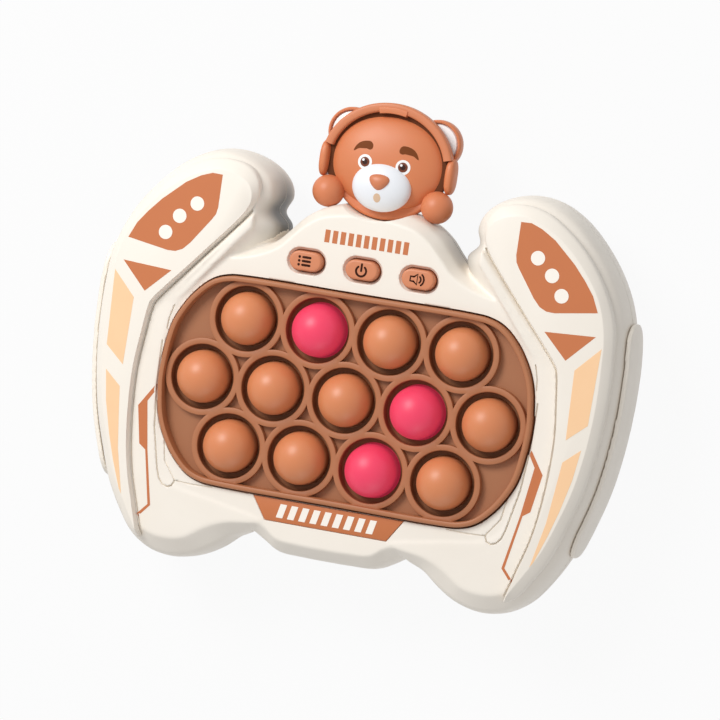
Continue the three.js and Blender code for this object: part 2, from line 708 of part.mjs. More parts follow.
function cell(index) {
  const direction = index % 2 ? -1 : 1;
  const body = new THREE.CylinderGeometry(cellRadius, cellRadius, cellLength - cellNub, keySides);
  body.translate(0, -cellNub / 2, 0);
  const nub = new THREE.CylinderGeometry(cellNubRadius, cellNubRadius, cellNub + cellNub, hiddenSides);
  nub.translate(0, cellLength / 2 - cellNub, 0);
  const quarter = -direction * Math.PI / 2;
  const turn = (geometry) => solid(geometry.rotateZ(quarter).translate(0, cellY(index), cellZ));
  return join(turn(body), turn(nub));
}

// A contact plate at one end of the bay that serves the cells listed, with a spring cone on each minus end
function contact(side, cells) {
  const plateX = [bayHalfLength - gap - contactThick, bayHalfLength - gap];
  const low = cellY(Math.min(...cells)) - springRadius;
  const high = cellY(Math.max(...cells)) + springRadius;
  const plate = box([Math.min(side * plateX[0], side * plateX[1]), low, cellZ - contactHeight / 2],
    [Math.max(side * plateX[0], side * plateX[1]), high, cellZ + contactHeight / 2]);
  const reach = plateX[0] - cellLength / 2 - gap;
  const bumps = cells.map((index) => {
    const plusSide = index % 2 ? -1 : 1;
    const base = side === plusSide ? cellNubRadius : springRadius;
    const bump = new THREE.CylinderGeometry(cellNubRadius, base, reach + contactThick / 2, hiddenSides);
    bump.translate(0, (reach + contactThick / 2) / 2 - contactThick / 2, 0).rotateZ(side * Math.PI / 2);
    return solid(bump.translate(side * plateX[0], cellY(index), cellZ));
  });
  return join(plate, ...bumps);
}

function speaker() {
  const base = -centreDepth + wall + gap;
  const rim = cylinder(speakerRadius, 0, speakerY, base, base + speakerThick / 2, keySides);
  const magnet = cylinder(speakerRadius / 2, 0, speakerY, base, base + speakerThick, keySides);
  return join(rim, magnet);
}

function speakerRing() {
  const base = -centreDepth + wall + gap + speakerThick + gap;
  const ears = box([-speakerRadius - speakerEar - postRadius, speakerY - postRadius, base],
    [speakerRadius + speakerEar + postRadius, speakerY + postRadius, base + speakerRingThick]);
  const radius = speakerRadius / 2 + postRadius;
  const collar = cylinder(radius, 0, speakerY, base, base + speakerRingThick, keySides);
  return join(collar, ears);
}

// Bear
function headHalves() {
  const inner = ellipsoid(headHalf, headCentre, -headWall, smallSides, smallRings);
  const shell = cut(ellipsoid(headHalf, headCentre), inner);
  const front = shell.intersect(slabAbove(headZ));
  const rear = join(shell.intersect(slabBelow(headZ - gap)), tongueBox(0));
  return [front, rear];
}

function muzzle() {
  return cut(ellipsoid(muzzleHalf, muzzleCentre), ellipsoid(headHalf, headCentre, gap));
}

function nose() {
  const ball = ellipsoid(noseHalf, noseCentre, 0, smallSides, smallRings);
  return cut(ball, ellipsoid(muzzleHalf, muzzleCentre, gap));
}

function ear(side) {
  const recessZ = earFrontZ - earRecess;
  const disc = cylinder(earRadius, side * earX, earY, earFrontZ - earThick, earFrontZ, cupSides);
  const recess = cylinder(earRadius - earRim, side * earX, earY, recessZ, earFrontZ + overrun, cupSides);
  return cut(disc, recess, ellipsoid(headHalf, headCentre, gap));
}

function earInner(side) {
  const radius = earRadius - earRim - gap;
  const disc = cylinder(radius, side * earX, earY, earFrontZ - earRecess + gap, earFrontZ - gap, cupSides);
  return cut(disc, ellipsoid(headHalf, headCentre, gap));
}

function headphoneBand() {
  const arc = (grow) => Array.from({ length: bandSteps + 1 }, (_, index) => (
    headEdge((bandEndShare + (1 - 2 * bandEndShare) * index / bandSteps) * Math.PI, grow)));
  const arch = prism([...arc(gap + bandThick), ...arc(gap).reverse()], headZ, headZ + bandWidth);
  const padCentre = [0, headY + headHalfHeight + bandThick, headZ + bandWidth / 2];
  const pad = ellipsoid(bandPadHalf, padCentre, 0, smallSides, smallRings);
  return cut(join(arch, pad), ellipsoid(headHalf, headCentre, gap));
}

function pawCentre(side) {
  return [side * pawX, headY - pawDrop, headZ + bandWidth / 2];
}

function paw(side) {
  const ball = ellipsoid([pawRadius, pawRadius, pawRadius], pawCentre(side), 0, smallSides, smallRings);
  return cut(ball, ellipsoid(headHalf, headCentre, gap), centreForm(gap));
}

function earCup(side) {
  const centre = [side * (headHalfWidth + bandThick / 2), headY, headZ + cupHalf[2]];
  const pawBall = ellipsoid([pawRadius, pawRadius, pawRadius], pawCentre(side), gap, smallSides, smallRings);
  const cup = ellipsoid(cupHalf, centre, 0, smallSides, smallRings);
  return cut(cup, ellipsoid(headHalf, headCentre, gap), pawBall, slabBelow(headZ));
}

// Materials
function material(color, roughness, metalness = 0) {
  return new THREE.MeshStandardMaterial({ color, roughness, metalness });
}
const cream = material(0xfbf4ec, 0.45);
const brown = material(0xc0744c, 0.4);
const keyBrown = material(0xd98a60, 0.3);
const litPink = material(0xf0416c, 0.3);
const white = material(0xf7f5f2, 0.4);
const dark = material(0x6e3a22, 0.35);
const boardGreen = material(0x2f7a4a, 0.6);
const steel = material(0xb8bcc0, 0.35, 1);
const cellCase = material(0x3c4a6a, 0.4);
const black = material(0x2a2a2c, 0.6);

const game = new THREE.Group();

function add(name, body, look) {
  const mesh = new THREE.Mesh(geometryOf(body), look);
  mesh.name = name;
  game.add(mesh);
}

const shell = casingShell();
add('front_shell', frontShell(shell), cream);
add('rear_shell', rearShell(shell), cream);
add('bubble_frame', bubbleFrame(), brown);
keyPlaces().forEach((at, index) => {
  const number = String(index + 1).padStart(2, '0');
  add(`bubble_${number}`, bubbleKey(at), litKeys.includes(number) ? litPink : keyBrown);
});
add('game_board', gameBoard(), boardGreen);
['menu_button', 'power_button', 'sound_button'].forEach((name, index) => {
  add(name, functionButton(buttonXs[index]), brown);
});
add('button_board', buttonBoard(), boardGreen);
add('label_plate', prism(labelOutline(0), labelRise - labelThick, labelRise), brown);
add('battery_door', batteryDoor(), cream);
add('battery_door_screw', screw(doorTabX, bayY, doorFaceZ - gap, screwHeadThick - gap, screwLength), steel);
for (let index = 0; index < cellCount; index++) add(`battery_${index + 1}`, cell(index), cellCase);
add('battery_contact_left_bridge', contact(-1, [0, 1]), steel);
add('battery_contact_left_end', contact(-1, [2]), steel);
add('battery_contact_right_end', contact(1, [0]), steel);
add('battery_contact_right_bridge', contact(1, [1, 2]), steel);
add('speaker', speaker(), black);
add('speaker_ring', speakerRing(), black);
caseScrews().forEach((at, index) => {
  const lowZ = -handleDepth + screwPocketDepth - gap - screwHeadThick;
  const length = -partingDepth + caseScrewBite - lowZ;
  add(`case_screw_${index + 1}`, screw(at.x, at.y, lowZ, screwHeadThick, length), steel);
});
for (const [name, side] of [['left', -1], ['right', 1]]) {
  add(`${name}_handle_cover`, handleCover(side), cream);
  add(`${name}_side_grip`, sideGrip(side), cream);
  add(`${name}_ear`, ear(side), keyBrown);
  add(`${name}_ear_inner`, earInner(side), white);
  add(`${name}_ear_cup`, earCup(side), brown);
  add(`${name}_paw`, paw(side), brown);
}
const [headFront, headRear] = headHalves();
add('bear_head_front', headFront, keyBrown);
add('bear_head_rear', headRear, keyBrown);
add('bear_muzzle', muzzle(), white);
add('bear_nose', nose(), dark);
add('headphone_band', headphoneBand(), brown);

// The origin is under the middle of the whole game, on the surface that it lies on
const bounds = new THREE.Box3().setFromObject(game);
const middle = bounds.getCenter(new THREE.Vector3());
game.position.set(-middle.x, -middle.y, -bounds.min.z);

const model = new THREE.Group();
model.add(game);
export default model;
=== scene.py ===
# Dressed model of a handheld bubble game with a toy bear on top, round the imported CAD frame.
# Shapes are written in millimetres from the middle key, on the plane of the lips round the keys.
from math import cos, pi, radians, sin

import bpy
import bmesh
import numpy as np
from mathutils import Matrix, Vector, geometry
from mathutils.bvhtree import BVHTree


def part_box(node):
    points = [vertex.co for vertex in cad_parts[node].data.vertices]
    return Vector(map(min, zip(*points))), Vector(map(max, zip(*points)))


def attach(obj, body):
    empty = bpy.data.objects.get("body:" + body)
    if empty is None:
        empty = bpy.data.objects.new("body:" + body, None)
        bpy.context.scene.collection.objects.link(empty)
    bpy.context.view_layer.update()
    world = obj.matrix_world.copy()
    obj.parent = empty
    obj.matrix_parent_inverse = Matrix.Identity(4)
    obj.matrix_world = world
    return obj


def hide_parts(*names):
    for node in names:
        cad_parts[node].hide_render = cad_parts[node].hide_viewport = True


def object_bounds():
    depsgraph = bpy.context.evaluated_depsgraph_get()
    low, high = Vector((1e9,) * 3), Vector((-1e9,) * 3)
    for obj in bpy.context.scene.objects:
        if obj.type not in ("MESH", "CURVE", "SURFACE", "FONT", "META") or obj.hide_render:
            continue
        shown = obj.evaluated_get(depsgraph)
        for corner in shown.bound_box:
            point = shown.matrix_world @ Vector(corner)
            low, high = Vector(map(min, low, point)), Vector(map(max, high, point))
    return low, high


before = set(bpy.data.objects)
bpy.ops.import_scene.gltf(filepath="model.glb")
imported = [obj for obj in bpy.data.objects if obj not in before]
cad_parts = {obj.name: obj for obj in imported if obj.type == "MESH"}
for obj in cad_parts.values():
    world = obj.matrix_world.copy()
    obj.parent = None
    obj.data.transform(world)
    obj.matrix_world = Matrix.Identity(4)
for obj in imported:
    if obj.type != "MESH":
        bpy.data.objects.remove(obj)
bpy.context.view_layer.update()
scene = bpy.context.scene

MM = 0.001
DOME_RADIUS = 8.2
DOME_DROP = 1.2

# Sign of X, and name
SIDES = ((1, "right"), (-1, "left"))

# Casing, as in the part's source
HALF_WIDTH = 86
REACH = 70
WALL = 2
GAP = 0.3
FACE_STEP = 0.3
PARTING = -14.5
CENTRE_BACK = -30
HANDLE_BACK = -38
COVER_RISE = 2.8
COVER_SKIRT = 1.3
RAIL_RISE = 2.2
SPINE_SHARE = 0.62

# Pad
KEY_PITCH = 23
ROW_STEP = KEY_PITCH * 0.866
ROWS = [4, 5, 4]
PAD_HALF_WIDTH = 59.7
PAD_HALF_HEIGHT = 32.6
FRAME_DEPTH = 5
RIM_RISE = 1.8
FLOOR_DROP = 3
CUP_RADIUS = 10.1
LIP_RADIUS = 11.95
HOLE_RADIUS = 8.6
FLANGE_RADIUS = 9.9
LIT = ("02", "08", "12")

# Function buttons
BUTTON_PITCH = 18
BUTTON_Y = 40.4
BUTTON_HALF = (5.2, 3)
BUTTON_TOP = 1.6
BUTTON_CROWN = 0.7

# Bear
HEAD_Y = 72.4
HEAD_Z = -13
HEAD_HALF = (18, 16.5, 8.5)
HEAD_MIDDLE = (0, HEAD_Y, HEAD_Z)

low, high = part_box("bubble_07")
ORIGIN = Vector(((low.x + high.x) / 2, (low.y + high.y) / 2, high.z - (DOME_RADIUS - DOME_DROP) * MM))

# Outlines of the casing, in thousandths of its half width and of its reach
HANDLE_WALL = [
    (370, 830), (386, 900), (444, 968), (541, 1007), (634, 997), (727, 940), (820, 834), (901, 700),
    (953, 557), (977, 386), (980, 171), (967, -43), (942, -229), (906, -386), (863, -536), (809, -657),
    (747, -757), (669, -817), (581, -834), (490, -808), (422, -762), (362, -700), (310, -655), (512, -514),
    (581, -257), (605, 0), (581, 257), (488, 486), (380, 600), (345, 705), (388, 768),
]
HANDLE_FACE = [
    (436, 821), (459, 879), (506, 909), (567, 917), (640, 891), (721, 831), (802, 729), (867, 607),
    (905, 464), (914, 314), (914, 129), (900, -57), (876, -221), (840, -364), (798, -500), (749, -607),
    (703, -686), (645, -723), (581, -729), (523, -714), (450, -655), (375, -617), (240, -588), (420, -540),
    (628, -477), (680, -257), (701, 57), (674, 293), (506, 550), (419, 686), (428, 760),
]
HANDLE_SPINE = [
    (516, 800), (523, 814), (547, 814), (581, 814), (640, 786), (698, 714), (744, 643), (779, 543),
    (808, 429), (820, 286), (823, 114), (814, -57), (797, -200), (767, -329), (727, -443), (680, -529),
    (640, -571), (605, -600), (581, -607), (558, -586), (535, -543), (530, -530), (530, -522), (535, -514),
    (581, -457), (721, -229), (767, 0), (767, 229), (698, 429), (628, 543), (558, 686),
]
CENTRE_WALL = [
    (0, 860), (105, 854), (192, 823), (259, 769), (309, 700), (366, 633), (465, 593), (651, 514), (814, 314),
    (860, 0), (814, -286), (674, -543), (488, -657), (384, -643), (297, -647), (238, -689), (180, -726),
    (93, -733), (0, -734),
]
CENTRE_FACE = [
    (0, 807), (105, 797), (174, 777), (233, 729), (273, 680), (320, 619), (395, 569), (628, 486), (779, 300),
    (814, 0), (779, -257), (651, -486), (488, -600), (384, -594), (302, -591), (230, -606), (177, -651),
    (93, -661), (0, -663),
]
CENTRE_BACK_LINE = [
    (0, 743), (93, 736), (163, 714), (209, 657), (256, 586), (326, 514), (419, 471), (512, 429), (581, 286),
    (628, 0), (581, -257), (488, -400), (419, -471), (349, -500), (279, -514), (209, -543), (151, -571),
    (70, -579), (0, -579),
]
COVER_BASE = [
    (438, 760), (420, 820), (424, 885), (463, 944), (547, 968), (635, 949), (722, 886), (812, 783),
    (885, 654), (933, 511), (948, 350), (949, 150), (935, -50), (909, -226), (873, -374), (831, -517),
    (779, -631), (726, -721), (686, -751), (709, -636), (747, -479), (767, -350), (781, -171), (783, 0),
    (772, 136), (755, 279), (747, 300), (593, 527),
]
COVER_TOP = [
    (446, 770), (438, 822), (456, 872), (503, 905), (567, 917), (640, 889), (721, 829), (808, 723),
    (874, 600), (906, 464), *HANDLE_FACE[9:16], (712, -683), (698, -717), (720, -621), (755, -471),
    (774, -350), (788, -171), (790, 0), (779, 136), (763, 283), (755, 306), (599, 533),
]
RAIL = [
    (419, 729), (422, 746), (433, 740), (586, 519), (738, 299), (728, 250), (679, 290), (593, 421),
    (509, 549), (419, 684),
]
# A quarter of the pad's outline, in shares of its half width and half height
PAD_QUARTER = [
    (1, 0), (0.994, 0.2), (0.97, 0.44), (0.925, 0.63), (0.86, 0.8), (0.78, 0.93), (0.7, 0.985), (0.6, 1),
    (0, 1),
]


# Outlines
def flipped(points, side):
    return np.array(points, float) * (side, 1)


def placed(points, side=1):
    return flipped(np.array(points) / 1000 * (HALF_WIDTH, REACH), side)


def mirrored(points):
    return points + [(-x, y) for x, y in reversed(points[1:-1])]


def smooth(points, steps):
    """Closed centripetal Catmull-Rom curve through the points."""
    p1 = np.asarray(points, float)
    p0, p2, p3 = np.roll(p1, 1, 0), np.roll(p1, -1, 0), np.roll(p1, -2, 0)
    spans = (p1 - p0, p2 - p1, p3 - p2)
    d0, d1, d2 = (np.sqrt(np.linalg.norm(span, axis=1))[:, None] for span in spans)
    t1 = ((p1 - p0) / d0 - (p2 - p0) / (d0 + d1) + (p2 - p1) / d1) * d1
    t2 = ((p2 - p1) / d1 - (p3 - p1) / (d1 + d2) + (p3 - p2) / d2) * d1
    rows = []
    for t in np.arange(steps) / steps:
        rows.append((2 * t**3 - 3 * t**2 + 1) * p1 + (t**3 - 2 * t**2 + t) * t1
                    + (3 * t**2 - 2 * t**3) * p2 + (t**3 - t**2) * t2)
    return np.stack(rows, 1).reshape(-1, 2)


# Lower limit of a mitre's divisor, which keeps sharp corners short
SHARPEST_MITRE = 0.6


def grown(points, distance):
    """Closed outline moved outward by a distance, mitred at its corners."""
    x, y = points.T
    turn = np.sign(np.sum(x * np.roll(y, -1) - y * np.roll(x, -1)))
    along = np.roll(points, -1, 0) - points
    along /= np.linalg.norm(along, axis=1)[:, None]
    normal = np.stack([along[:, 1], -along[:, 0]], 1) * turn
    before = np.roll(normal, 1, 0)
    reach = np.maximum(1 + np.sum(before * normal, 1), SHARPEST_MITRE)
    return points + distance * (before + normal) / reach[:, None]


def pad_outline(grow, steps=6):
    back = [(-x, y) for x, y in reversed(PAD_QUARTER[1:])]
    half = PAD_QUARTER[:-1] + back[:-1]
    shares = half + [(-x, -y) for x, y in half]
    points = np.array(shares) * (PAD_HALF_WIDTH, PAD_HALF_HEIGHT)
    return grown(smooth(points, steps), grow)


def curve(angles, half_x, half_y, x=0, y=0):
    """Points of an ellipse at the angles."""
    return np.stack([x + half_x * np.cos(angles), y + half_y * np.sin(angles)], 1)


def disc(radius, x=0, y=0, steps=32):
    return curve(np.arange(steps) / steps * 2 * pi, radius, radius, x, y)


def arc(radius, start, end, x, y, steps=20):
    return curve(np.radians(np.linspace(start, end, steps)), radius, radius, x, y)


def stadium(half_x, half_y, x=0, y=0, steps=12):
    right = curve(np.linspace(-pi / 2, pi / 2, steps + 1), half_y, half_y, half_x - half_y)
    return np.concatenate([right, -right]) + (x, y)


def rounded_rectangle(low_corner, high_corner, radius, steps):
    (x0, y0), (x1, y1) = np.add(low_corner, radius), np.subtract(high_corner, radius)
    corners = [(x1, y1), (x0, y1), (x0, y0), (x1, y0)]
    quarters = [arc(radius, 90 * k, 90 * k + 90, *corner, steps) for k, corner in enumerate(corners)]
    return np.concatenate(quarters)


def stroke(points, width, steps=6):
    """Outline of a line of some width with round ends."""
    points = np.asarray(points, float)
    along = np.gradient(points, axis=0)
    for k in range(1, len(points) - 1):
        a, b = points[k] - points[k - 1], points[k + 1] - points[k]
        along[k] = a / np.linalg.norm(a) + b / np.linalg.norm(b)
    along /= np.linalg.norm(along, axis=1)[:, None]
    side = np.stack([-along[:, 1], along[:, 0]], 1) * width / 2

    def cap(end, start):
        angles = np.arctan2(start[1], start[0]) - np.linspace(0, pi, steps + 1)[1:-1]
        return curve(angles, width / 2, width / 2, *end)

    far_end = cap(points[-1], side[-1])
    near_end = cap(points[0], -side[0])
    return np.concatenate([points + side, far_end, (points - side)[::-1], near_end])


# Meshes
def linked(name, data):
    piece = bpy.data.objects.new(name, data)
    scene.collection.objects.link(piece)
    return piece


def make(name, points, faces):
    """Closed mesh from points in millimetres in the part's own frame, with its faces turned outward."""
    mesh = bpy.data.meshes.new(name)
    mesh.from_pydata((np.asarray(points, float) * MM + ORIGIN).tolist(), [], faces)
    mesh.validate()
    shape = bmesh.new()
    shape.from_mesh(mesh)
    bmesh.ops.recalc_face_normals(shape, faces=shape.faces)
    shape.to_mesh(mesh)
    shape.free()
    return linked(name, mesh)


def tube(name, points, count):
    """Closed solid through rings of count points each, with a flat end on the first and the last."""
    faces = []
    last = len(points) - count
    for first in range(0, last, count):
        for k in range(count):
            a, b = first + k, first + (k + 1) % count
            faces.append((a, b, b + count, a + count))
    faces.append(tuple(range(count - 1, -1, -1)))
    faces.append(tuple(range(last, last + count)))
    return make(name, points, faces)


def loft(name, rings):
    """Closed solid through rings (points, z) of equal count."""
    count = len(rings[0][0])
    points = np.concatenate([np.column_stack([ring, np.full(count, z)]) for ring, z in rings])
    return tube(name, points, count)


def prism(name, points, low_z, high_z):
    return loft(name, [(points, high_z), (points, low_z)])


def lathe(name, profile, x, y, steps=64):
    """Closed solid of revolution about Z; a profile point on the axis becomes one vertex."""
    points, faces, rows = [], [], []
    for radius, z in profile:
        if radius == 0:
            rows.append([len(points)] * steps)
            points.append((x, y, z))
        else:
            rows.append(range(len(points), len(points) + steps))
            points.extend((px, py, z) for px, py in disc(radius, x, y, steps))
    closed = profile[0][0] != 0 or profile[-1][0] != 0
    pairs = list(zip(rows, rows[1:])) + ([(rows[-1], rows[0])] if closed else [])
    for upper, lower in pairs:
        for k in range(steps):
            n = (k + 1) % steps
            faces.append(tuple(dict.fromkeys([upper[k], upper[n], lower[n], lower[k]])))
    return make(name, points, faces)


def ball(name, half, centre, steps, rings, shape=None):
    """Ellipsoid as a sphere of quads, with an optional change of its unit points."""
    points, faces = [], []
    for ring in range(rings + 1):
        polar = pi * ring / rings
        for k in range(steps if 0 < ring < rings else 1):
            angle = 2 * pi * k / steps
            points.append((sin(polar) * cos(angle), sin(polar) * sin(angle), cos(polar)))
    starts = [0] + [1 + k * steps for k in range(rings)]
    for ring in range(rings):
        for k in range(steps):
            n = (k + 1) % steps
            upper = [0] if ring == 0 else [starts[ring] + k, starts[ring] + n]
            lower = [starts[-1]] if ring == rings - 1 else [starts[ring + 1] + n, starts[ring + 1] + k]
            faces.append((*upper, *lower))
    unit = np.array(points)
    if shape:
        unit = shape(unit)
    return make(name, unit * half + centre, faces)


def box(name, low_corner, high_corner):
    (x0, y0, z0), (x1, y1, z1) = low_corner, high_corner
    outline = np.array([(x0, y0), (x1, y0), (x1, y1), (x0, y1)], float)
    return prism(name, outline, z0, z1)


def bake(piece):
    """The piece's modifiers become its mesh."""
    graph = bpy.context.evaluated_depsgraph_get()
    mesh = bpy.data.meshes.new_from_object(piece.evaluated_get(graph))
    piece.modifiers.clear()
    old = piece.data
    piece.data = mesh
    mesh.name = piece.name
    bpy.data.meshes.remove(old)
    return piece


def drop(*pieces):
    for piece in pieces:
        mesh = piece.data
        bpy.data.objects.remove(piece)
        bpy.data.meshes.remove(mesh)


def combine(piece, operation, *tools):
    """Boolean of the piece with each tool, which is then deleted."""
    for tool in tools:
        change = piece.modifiers.new("cut", "BOOLEAN")
        change.solver = "MANIFOLD"
        change.operation = operation
        change.object = tool
        bpy.context.view_layer.update()
        bake(piece)
    drop(*tools)
    return piece


def cut(piece, *tools):
    return combine(piece, "DIFFERENCE", *tools)


def written(name, shape):
    mesh = bpy.data.meshes.new(name)
    shape.to_mesh(mesh)
    shape.free()
    return linked(name, mesh)


def merged(name, *pieces):
    """One mesh with all the pieces' faces, as they are."""
    shape = bmesh.new()
    for piece in pieces:
        shape.from_mesh(piece.data)
    drop(*pieces)
    return written(name, shape)


def remesh(piece, voxel, rounds):
    """Overlapping solids become one skin of even quads, with its creases softened."""
    change = piece.modifiers.new("remesh", "REMESH")
    change.mode = "VOXEL"
    change.voxel_size = voxel * MM
    soften = piece.modifiers.new("soften", "SMOOTH")
    soften.factor = 0.5
    soften.iterations = rounds
    bpy.context.view_layer.update()
    return bake(piece)


def copied(node):
    """Welded copy of a CAD node's mesh, for use in a boolean."""
    shape = bmesh.new()
    shape.from_mesh(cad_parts[node].data)
    bmesh.ops.remove_doubles(shape, verts=shape.verts, dist=0.001 * MM)
    return written("copy_of_" + node, shape)


# Materials
def linear(colour):
    """RGB from 0 to 255 as written in pictures, as the shader's linear colour."""
    parts = [c / 255 for c in colour]
    return [c / 12.92 if c <= 0.04045 else ((c + 0.055) / 1.055) ** 2.4 for c in parts] + [1]


GLOSS_SPREAD = 0.06
GRAIN_DEPTH = 0.1
LIGHT_DEPTH = 1.5


def plastic(name, colour, shade_colour, roughness, grain_mm=0.6, grain=0.02, cloud_mm=14, metallic=0.0,
            subsurface=0.0, coat=0.0, specular=0.5, glow=None, glow_strength=0.0, depth_shade=None, shaded=None):
    """Moulded surface: cloudy colour between two shades, uneven gloss and a fine grain.

    Depth shade is painted shade, darker towards the bottom: a colour and two heights, the colour taking over
    from the upper to the lower one.
    Shaded is painted shade: a colour, a point with X, Y and Z over zero in the frame, and two distances from
    it: the colour takes over from the far distance to the near one, round the point and its mirror images.
    """
    look = bpy.data.materials.new(name)
    look.use_nodes = True
    nodes, links = look.node_tree.nodes, look.node_tree.links
    shader = nodes["Principled BSDF"]
    place = nodes.new("ShaderNodeTexCoord").outputs["Object"]

    def noise(size_mm, detail):
        texture = nodes.new("ShaderNodeTexNoise")
        texture.inputs["Scale"].default_value = 1 / (size_mm * MM)
        texture.inputs["Detail"].default_value = detail
        links.new(place, texture.inputs["Vector"])
        return texture.outputs["Fac"]

    def ramp(value, start, end):
        """Node whose result goes from 0 to 1 while the value goes from start to end."""
        change = nodes.new("ShaderNodeMapRange")
        change.inputs["From Min"].default_value = start
        change.inputs["From Max"].default_value = end
        links.new(value, change.inputs["Value"])
        return change

    layers = [(shade_colour, noise(cloud_mm, 3))]
    if depth_shade:
        depth_shade_colour, upper, lower = depth_shade
        split = nodes.new("ShaderNodeSeparateXYZ")
        links.new(place, split.inputs["Vector"])
        height = ramp(split.outputs["Z"], ORIGIN.z + upper * MM, ORIGIN.z + lower * MM)
        layers.append((depth_shade_colour, height.outputs["Result"]))
    if shaded:
        dim_colour, point, near, far = shaded
        fold = nodes.new("ShaderNodeVectorMath")
        fold.operation = "ABSOLUTE"
        links.new(place, fold.inputs[0])
        span = nodes.new("ShaderNodeVectorMath")
        span.operation = "DISTANCE"
        links.new(fold.outputs["Vector"], span.inputs[0])
        span.inputs[1].default_value = Vector(point) * MM + ORIGIN
        closeness = ramp(span.outputs["Value"], far * MM, near * MM)
        closeness.interpolation_type = "SMOOTHSTEP"
        layers.append((dim_colour, closeness.outputs["Result"]))
    tone = None
    for over, share in layers:
        mix = nodes.new("ShaderNodeMix")
        mix.data_type = "RGBA"
        mix.inputs["A"].default_value = linear(colour)
        mix.inputs["B"].default_value = linear(over)
        links.new(share, mix.inputs["Factor"])
        if tone is not None:
            links.new(tone, mix.inputs["A"])
        tone = mix.outputs["Result"]
    links.new(tone, shader.inputs["Base Color"])
    gloss = ramp(noise(cloud_mm / 3, 5), 0, 1)
    gloss.inputs["To Min"].default_value = max(roughness - GLOSS_SPREAD, 0.02)
    gloss.inputs["To Max"].default_value = roughness + GLOSS_SPREAD
    links.new(gloss.outputs["Result"], shader.inputs["Roughness"])
    bump = nodes.new("ShaderNodeBump")
    bump.inputs["Strength"].default_value = grain
    bump.inputs["Distance"].default_value = GRAIN_DEPTH * MM
    links.new(noise(grain_mm, 4), bump.inputs["Height"])
    links.new(bump.outputs["Normal"], shader.inputs["Normal"])
    shader.inputs["Metallic"].default_value = metallic
    shader.inputs["Specular IOR Level"].default_value = specular
    shader.inputs["Subsurface Weight"].default_value = subsurface
    shader.inputs["Subsurface Scale"].default_value = LIGHT_DEPTH * MM
    shader.inputs["Coat Weight"].default_value = coat
    if glow:
        shader.inputs["Emission Color"].default_value = linear(glow)
        shader.inputs["Emission Strength"].default_value = glow_strength
    return look


CREAM = ((246, 238, 226), (241, 232, 219))
cream = plastic("cream_plastic", *CREAM, 0.45)
# Cream with a painted shadow that darkens the handles' inner ends beside the hump
cream_painted_shade = plastic("cream_painted_shade", *CREAM, 0.45, shaded=((96, 94, 90), (31.5, 51, -16), 5, 18))
# Brown of the pad frame, with painted shade that darkens it towards the floor of the frame
brown = plastic("brown_plastic", (178, 115, 76), (171, 108, 70), 0.5, depth_shade=((162, 106, 70), -0.5, -3))
# Darker brown painted on the walls and floors of the cups as their shade
cup_shade_brown = plastic("cup_painted_shade", (144, 96, 66), (135, 88, 60), 0.6, specular=0.2)
key_brown = plastic("key_plastic", (216, 135, 88), (213, 131, 86), 0.4, subsurface=0.05)
key_lit = plastic("lit_key_plastic", (226, 62, 94), (219, 53, 86), 0.42, subsurface=0.05, glow=(240, 62, 100),
                  glow_strength=0.2)
bear_brown = plastic("bear_plastic", (216, 130, 84), (209, 122, 77), 0.45, subsurface=0.05)
band_brown = plastic("band_plastic", (212, 130, 88), (204, 121, 79), 0.45)
white = plastic("white_plastic", (250, 249, 248), (246, 243, 240), 0.38, coat=0.15)
dark = plastic("dark_brown_plastic", (58, 26, 12), (50, 21, 10), 0.6, specular=0.1)
print_brown = plastic("brown_print", (198, 115, 65), (195, 112, 65), 0.5, grain=0.01, cloud_mm=6)
print_peach = plastic("peach_print", (250, 207, 161), (248, 202, 155), 0.5, grain=0.01, cloud_mm=6)
print_cream = plastic("cream_print", (252, 245, 235), (248, 239, 227), 0.48, grain=0.01, cloud_mm=6)
board_green = plastic("board_laminate", (48, 122, 74), (34, 98, 58), 0.45, grain_mm=0.3, grain=0.1,
                      cloud_mm=5)
wrap = plastic("cell_wrap", (60, 74, 106), (50, 62, 92), 0.3, cloud_mm=8)
steel = plastic("zinc_steel", (190, 193, 198), (166, 170, 176), 0.32, grain_mm=0.2, grain=0.06, metallic=1.0)
black = plastic("black_plastic", (44, 44, 46), (34, 34, 36), 0.55, grain_mm=0.3, grain=0.08)
button_brown = plastic("button_plastic", (214, 136, 96), (206, 127, 87), 0.42)
muzzle_white = plastic("snout_plastic", (238, 240, 243), (232, 234, 238), 0.4)
nose_brown = plastic("nose_plastic", (210, 128, 88), (202, 119, 79), 0.4)
paw_brown = plastic("paw_plastic", (216, 131, 88), (208, 122, 80), 0.45)
iris_brown = plastic("iris_print", (122, 64, 40), (108, 54, 33), 0.3, specular=0.3, grain=0.01, cloud_mm=2)
pupil_dark = plastic("pupil_print", (56, 26, 18), (46, 20, 14), 0.28, specular=0.3, grain=0.01, cloud_mm=2)
# Dark brown strip between the headband and the face, painted shade of the gap there
band_gap_shade_brown = plastic("band_gap_shade", (104, 60, 36), (92, 51, 30), 0.7, specular=0.1)
brow_brown = plastic("brow_print", (124, 68, 34), (114, 60, 29), 0.6, specular=0.1, grain=0.01, cloud_mm=3)
mouth_tan = plastic("mouth_print", (222, 190, 160), (214, 180, 148), 0.45, grain=0.01, cloud_mm=3)


def finish(piece, look, body="root", replaces=(), angle=35):
    """Material, shading and body of a new piece; edges sharper than the angle stay sharp."""
    mesh = piece.data
    mesh.materials.clear()
    mesh.materials.append(look)
    mesh.polygons.foreach_set("use_smooth", np.ones(len(mesh.polygons), bool))
    mesh.set_sharp_from_angle(angle=radians(angle))
    mesh.update()
    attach(piece, body)
    if replaces:
        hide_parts(*replaces)
    return piece


# Casing
# Bevel from the face edge to the widest line: shares of the way across and of the way down
BEVEL = [
    (0, 0), (0.04, 0.008), (0.1, 0.03), (0.4, 0.16), (0.7, 0.29), (0.8, 0.36), (0.88, 0.47), (0.95, 0.68),
    (1, 1),
]


